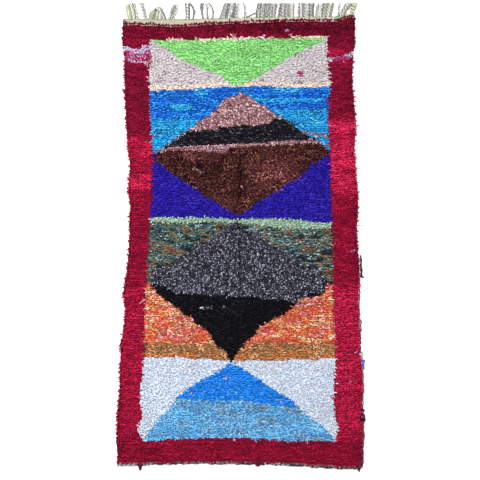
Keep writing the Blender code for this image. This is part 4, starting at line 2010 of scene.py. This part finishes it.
# Loose threads, tufts and tags. Columns: root across and along, tip across and along, radius at the root and
# at the tip, height of the root and of the tip, colour.
THREADS = (
    (-0.527, 0.036, -0.528, -0.001, 0.0110, 0.0045, 0.012, 0.007, (96, 16, 36)),
    (-0.520, 0.034, -0.524, 0.004, 0.0070, 0.0040, 0.009, 0.006, (44, 18, 28)),
    (-0.536, 0.034, -0.531, 0.006, 0.0060, 0.0040, 0.009, 0.006, (60, 14, 28)),
    (0.075, 0.046, 0.092, 0.022, 0.0080, 0.0045, 0.010, 0.007, (104, 22, 44)),
    (0.122, 0.044, 0.101, 0.022, 0.0080, 0.0045, 0.010, 0.007, (92, 18, 38)),
    (0.098, 0.044, 0.096, 0.018, 0.0090, 0.0030, 0.011, 0.006, (74, 24, 40)),
    (0.453, 0.016, 0.454, -0.020, 0.0016, 0.0012, 0.006, 0.003, (64, 20, 34)),
    (0.628, 0.022, 0.637, -0.010, 0.0062, 0.0030, 0.010, 0.005, (36, 30, 36)),
    (0.620, 0.024, 0.631, -0.004, 0.0050, 0.0030, 0.008, 0.005, (60, 34, 46)),
    (0.640, 0.272, 0.668, 0.262, 0.0068, 0.0035, 0.012, 0.007, (16, 16, 22)),
    (0.644, 0.322, 0.664, 0.318, 0.0055, 0.0035, 0.012, 0.007, (26, 26, 34)),
    (0.644, 0.300, 0.662, 0.290, 0.0055, 0.0040, 0.010, 0.007, (22, 20, 26)),
    (0.622, 1.300, 0.668, 1.302, 0.0020, 0.0015, 0.009, 0.004, (96, 22, 48)),
    (0.648, 1.028, 0.660, 1.020, 0.0050, 0.0035, 0.010, 0.006, (30, 28, 34)),
    (-0.600, 1.878, -0.622, 1.858, 0.0022, 0.0014, 0.008, 0.004, (60, 16, 28)),
    (-0.622, 0.680, -0.644, 0.650, 0.0030, 0.0018, 0.009, 0.004, (34, 14, 22)),
    (-0.626, 0.655, -0.640, 0.628, 0.0022, 0.0016, 0.009, 0.004, (50, 14, 26)),
    (-0.622, 0.130, -0.640, 0.124, 0.0050, 0.0030, 0.009, 0.006, (32, 14, 24)),
    (-0.622, 0.100, -0.641, 0.096, 0.0045, 0.0030, 0.009, 0.006, (54, 18, 32)),
    (-0.622, 0.068, -0.642, 0.066, 0.0045, 0.0030, 0.009, 0.006, (24, 12, 20)),
    (-0.500, 0.904, -0.528, 0.884, 0.0016, 0.0012, 0.019, 0.017, (222, 190, 184)),
    (0.480, 1.200, 0.500, 1.188, 0.0014, 0.0012, 0.018, 0.017, (216, 150, 160)),
    (0.512, 2.404, 0.530, 2.410, 0.0050, 0.0040, 0.008, 0.007, (84, 140, 130)),
    (0.518, 2.398, 0.526, 2.414, 0.0040, 0.0030, 0.009, 0.007, (120, 160, 130)),
    (-0.596, 2.372, -0.610, 2.386, 0.0050, 0.0030, 0.012, 0.007, (60, 10, 26)),
    (0.655, 0.560, 0.664, 0.585, 0.0050, 0.0040, 0.008, 0.006, (60, 80, 160)),
)


@dataclass
class EdgeCords:
    """The twisted finish at the plain end and the overcast selvedges at the sides, with their loose ends.

    Attributes:
        outline: the rug's edges.
        ply: how the cords are plied.
        step: spacing of points along them.
        lap: how far a length runs on past its end.
        dulling: share of their colours' brightness that the cords keep.
        fuzz: number of short stray fibres along the plain end.
        fuzz_span: the places across between which they are.
        fuzz_reach: their least and most length.
        fuzz_radius: their least and most radius.
        fuzz_colours: their colours.
        floor_gap: the least height of a thread's surface.
        seed: where the random numbers start.
    """

    outline: Outline
    ply: Ply = Ply(strands=3, yarn=0.0026, pitch=0.026, sides=5)
    step: float = 0.0065
    lap: float = 0.006
    dulling: float = 0.62
    fuzz: int = 260
    fuzz_span: tuple[float, float] = (-0.632, 0.642)
    fuzz_reach: tuple[float, float] = (0.006, 0.016)
    fuzz_radius: tuple[float, float] = (0.0010, 0.0026)
    fuzz_colours: tuple[Rgb, ...] = (
        (20, 20, 24), (44, 44, 48), (150, 150, 150), (90, 16, 36), (200, 200, 198),
    )
    floor_gap: float = 0.0002
    seed: int = 110

    def cord(self, name: str, lengths: tuple, line: Callable[[Array, Array], Array]) -> Piece:
        """Makes a cord out of lengths.

        Args:
            name: the object's name.
            lengths: rows of from, to, place outside the edge, share of the thickness and three colours.
            line: gives points from places along the cord and how far outside the pile's edge they are.

        Returns:
            The object.
        """
        chance = np.random.default_rng(self.seed + len(lengths))
        soup = Soup()
        for start, end, outside, thick, *colours in lengths:
            places = np.linspace(start - self.lap, end + self.lap, max(round((end - start) / self.step), 4))
            path = line(places, outside + chance.normal(0, 0.0018, len(places)))
            path[:, 2] = 0.0022 + 2.0 * thick * self.ply.yarn
            taper = thick * np.interp(np.linspace(0, 1, len(places)), (0, 0.15, 0.85, 1), (0.5, 1, 1, 0.5))
            dyes = self.dulling * np.array([[linear(colour) for colour in colours]])
            self.ply.wind(soup, path[None], dyes, taper * chance.uniform(0.85, 1.15, len(places)), chance)
        return soup.build(name, self.material)

    def threads(self) -> Piece:
        """Makes the loose threads, tufts and tags.

        Returns:
            The object.
        """
        chance = np.random.default_rng(self.seed)
        share = np.linspace(0, 1, 6)
        soup = Soup()
        for x0, y0, x1, y1, thick, thin, high, low, colour in THREADS:
            path = np.zeros((len(share), 3))
            bow = chance.normal(0, 0.0012) * np.sin(math.pi * share)
            path[:, 0] = self.outline.middle + x0 + (x1 - x0) * share + bow
            path[:, 1] = self.outline.plain_end + y0 + (y1 - y0) * share**1.2
            path[:, 2] = high + (low - high) * share**2
            radii = np.minimum(thick + (thin - thick) * share, path[:, 2])
            points, quads, ends = tubes(path[None], radii[None], 7)
            points += chance.normal(0, 0.10 * thin, points.shape)
            points[:, 2] = np.maximum(points[:, 2], self.floor_gap)
            dye = np.tile(linear(colour), (len(points), 1))
            soup.add(points, quads, ends, dye=dye, tuft=chance.random(len(points)))
        self.add_fuzz(soup, chance)
        return soup.build("loose_threads", self.material)

    def add_fuzz(self, soup: Soup, chance: Chance) -> None:
        """Adds the short stray fibres along the plain end.

        Args:
            soup: what they are added to.
            chance: random numbers.
        """
        x = self.outline.middle + chance.uniform(*self.fuzz_span, self.fuzz)
        share = np.linspace(0, 1, 4)
        lean = chance.normal(0, 0.008, (self.fuzz, 1))
        reach = chance.uniform(*self.fuzz_reach, (self.fuzz, 1))
        paths = np.zeros((self.fuzz, len(share), 3))
        paths[..., 0] = x[:, None] + lean * share
        paths[..., 1] = self.outline.low(x)[:, None] - reach * share
        paths[..., 2] = 0.0100 - 0.0050 * share
        radii = chance.uniform(*self.fuzz_radius, (self.fuzz, 1)) * (1.2 - 0.6 * share)
        points, quads, ends = tubes(paths, radii, 5)
        colours = np.array([linear(colour) for colour in self.fuzz_colours])
        dye = colours[chance.integers(0, len(colours), self.fuzz)]
        dye = np.repeat(dye, len(points) // self.fuzz, axis=0)
        soup.add(points, quads, ends, dye=dye, tuft=chance.random(len(points)))

    def build(self) -> list[Piece]:
        """Makes the cords.

        Returns:
            The plain end's cord, the two selvedges and the loose threads.
        """
        self.material = YarnFinish().material("edge_yarn")
        middle, end = self.outline.middle, self.outline.plain_end

        def plain(at: Array, outside: Array) -> Array:
            """Follows the plain end."""
            x = middle + at
            return np.stack([x, self.outline.low(x) - outside, outside], 1)

        def left(at: Array, outside: Array) -> Array:
            """Follows the left side."""
            y = end + at
            return np.stack([self.outline.left(y) - outside, y, outside], 1)

        def right(at: Array, outside: Array) -> Array:
            """Follows the right side."""
            y = end + at
            return np.stack([self.outline.right(y) + outside, y, outside], 1)

        return [
            self.cord("plain_end_cord", PLAIN_END_LENGTHS, plain),
            self.cord("left_selvedge_cord", LEFT_LENGTHS, left),
            self.cord("right_selvedge_cord", RIGHT_LENGTHS, right),
            self.threads(),
        ]


# --- stage

@dataclass(frozen=True)
class Studio:
    """A plain pale floor, soft light and the camera straight above.

    Attributes:
        view_width: width of what the camera sees at the rug.
        lens: focal length, in millimetres.
        aim: the point under the camera.
        sensor: the camera's width, in millimetres.
        sky: strength of the sky light.
        lamp_size: side of the square lamp.
        lamp_power: its power, in watts.
        lamp_place: where it hangs.
    """

    view_width: float = 2.544
    lens: float = 70.0
    aim: Rgb = (0.003, -0.018, 0.015)
    sensor: float = 36.0
    sky: float = 1.15
    lamp_size: float = 2.6
    lamp_power: float = 380.0
    lamp_place: Rgb = (-1.5, 1.8, 4.4)

    def floor(self) -> Piece:
        """Makes the floor.

        Returns:
            The object, just below the rug.
        """
        bench = Bench("pale_floor")
        grain = bench.cloud(bench.place(), (3.0, 3.0, 3.0), 4.0)
        pale = bench.blend(grain, (0.84, 0.84, 0.84), (0.86, 0.86, 0.86))
        material = bench.finish(0.0, Base_Color=pale, Roughness=0.9)
        bpy.ops.mesh.primitive_plane_add(size=24.0, location=(0.0, 0.0, -0.0004))
        floor = bpy.context.object
        floor.name = "floor"
        floor.data.materials.append(material)
        return floor

    def light(self) -> None:
        """Sets the sky light and one large soft lamp."""
        world = bpy.data.worlds.new("studio")
        world.use_nodes = True
        background = world.node_tree.nodes["Background"]
        background.inputs["Color"].default_value = (1.0, 1.0, 1.0, 1.0)
        background.inputs["Strength"].default_value = self.sky
        bpy.context.scene.world = world
        lamp = bpy.data.lights.new("soft_key", "AREA")
        lamp.shape = "SQUARE"
        lamp.size = self.lamp_size
        lamp.energy = self.lamp_power
        key = bpy.data.objects.new("soft_key", lamp)
        key.location = self.lamp_place
        key.rotation_euler = (Vector((0, 0, 0)) - key.location).to_track_quat("-Z", "Y").to_euler()
        bpy.context.scene.collection.objects.link(key)

    def camera(self) -> None:
        """Hangs the camera straight over the rug."""
        data = bpy.data.cameras.new("overhead")
        data.lens = self.lens
        data.sensor_width = self.sensor
        camera = bpy.data.objects.new("overhead", data)
        height = self.view_width * self.lens / self.sensor
        camera.location = Vector(self.aim) + Vector((0.0, 0.0, height))
        bpy.context.scene.collection.objects.link(camera)
        bpy.context.scene.camera = camera

    def build(self) -> None:
        """Sets up the stage."""
        self.camera()
        self.light()
        self.floor()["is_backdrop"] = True
        bpy.context.scene.view_settings.view_transform = "Standard"


def corners(box: tuple[Vector, Vector]) -> list[list[float]]:
    """Turns a box into plain lists."""
    return [list(box[0]), list(box[1])]


def main() -> None:
    """Builds the rug and its stage, and attaches every piece to the body."""
    logging.basicConfig(level=logging.INFO, format="%(message)s")
    cad_box = corners(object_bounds())
    Studio().build()
    outline = Outline(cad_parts["rug"])
    pile = Pile(outline, Design())
    tufts = pile.build()
    ground = Ground(outline, pile).build()
    fringe = Fringe(outline).build()
    band = EndBand(outline).build()
    cords = EdgeCords(outline).build()
    for piece in [ground, *tufts, band, *cords]:
        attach(piece, BODY)
    for piece in fringe:
        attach(piece, BODY)
    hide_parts("rug")
    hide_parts("warp_fringe")
    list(tufts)
    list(cords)
    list(fringe)
    total = 0
    for piece in [ground, *tufts, band, *cords, *fringe]:
        count = triangles_in(piece)
        total += count
        LOG.info("%s: %d triangles", piece.name, count)
    LOG.info("in all: %d triangles", total)
    {"cad": cad_box, "visual": corners(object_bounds())}


if __name__ == "__main__":
    main()
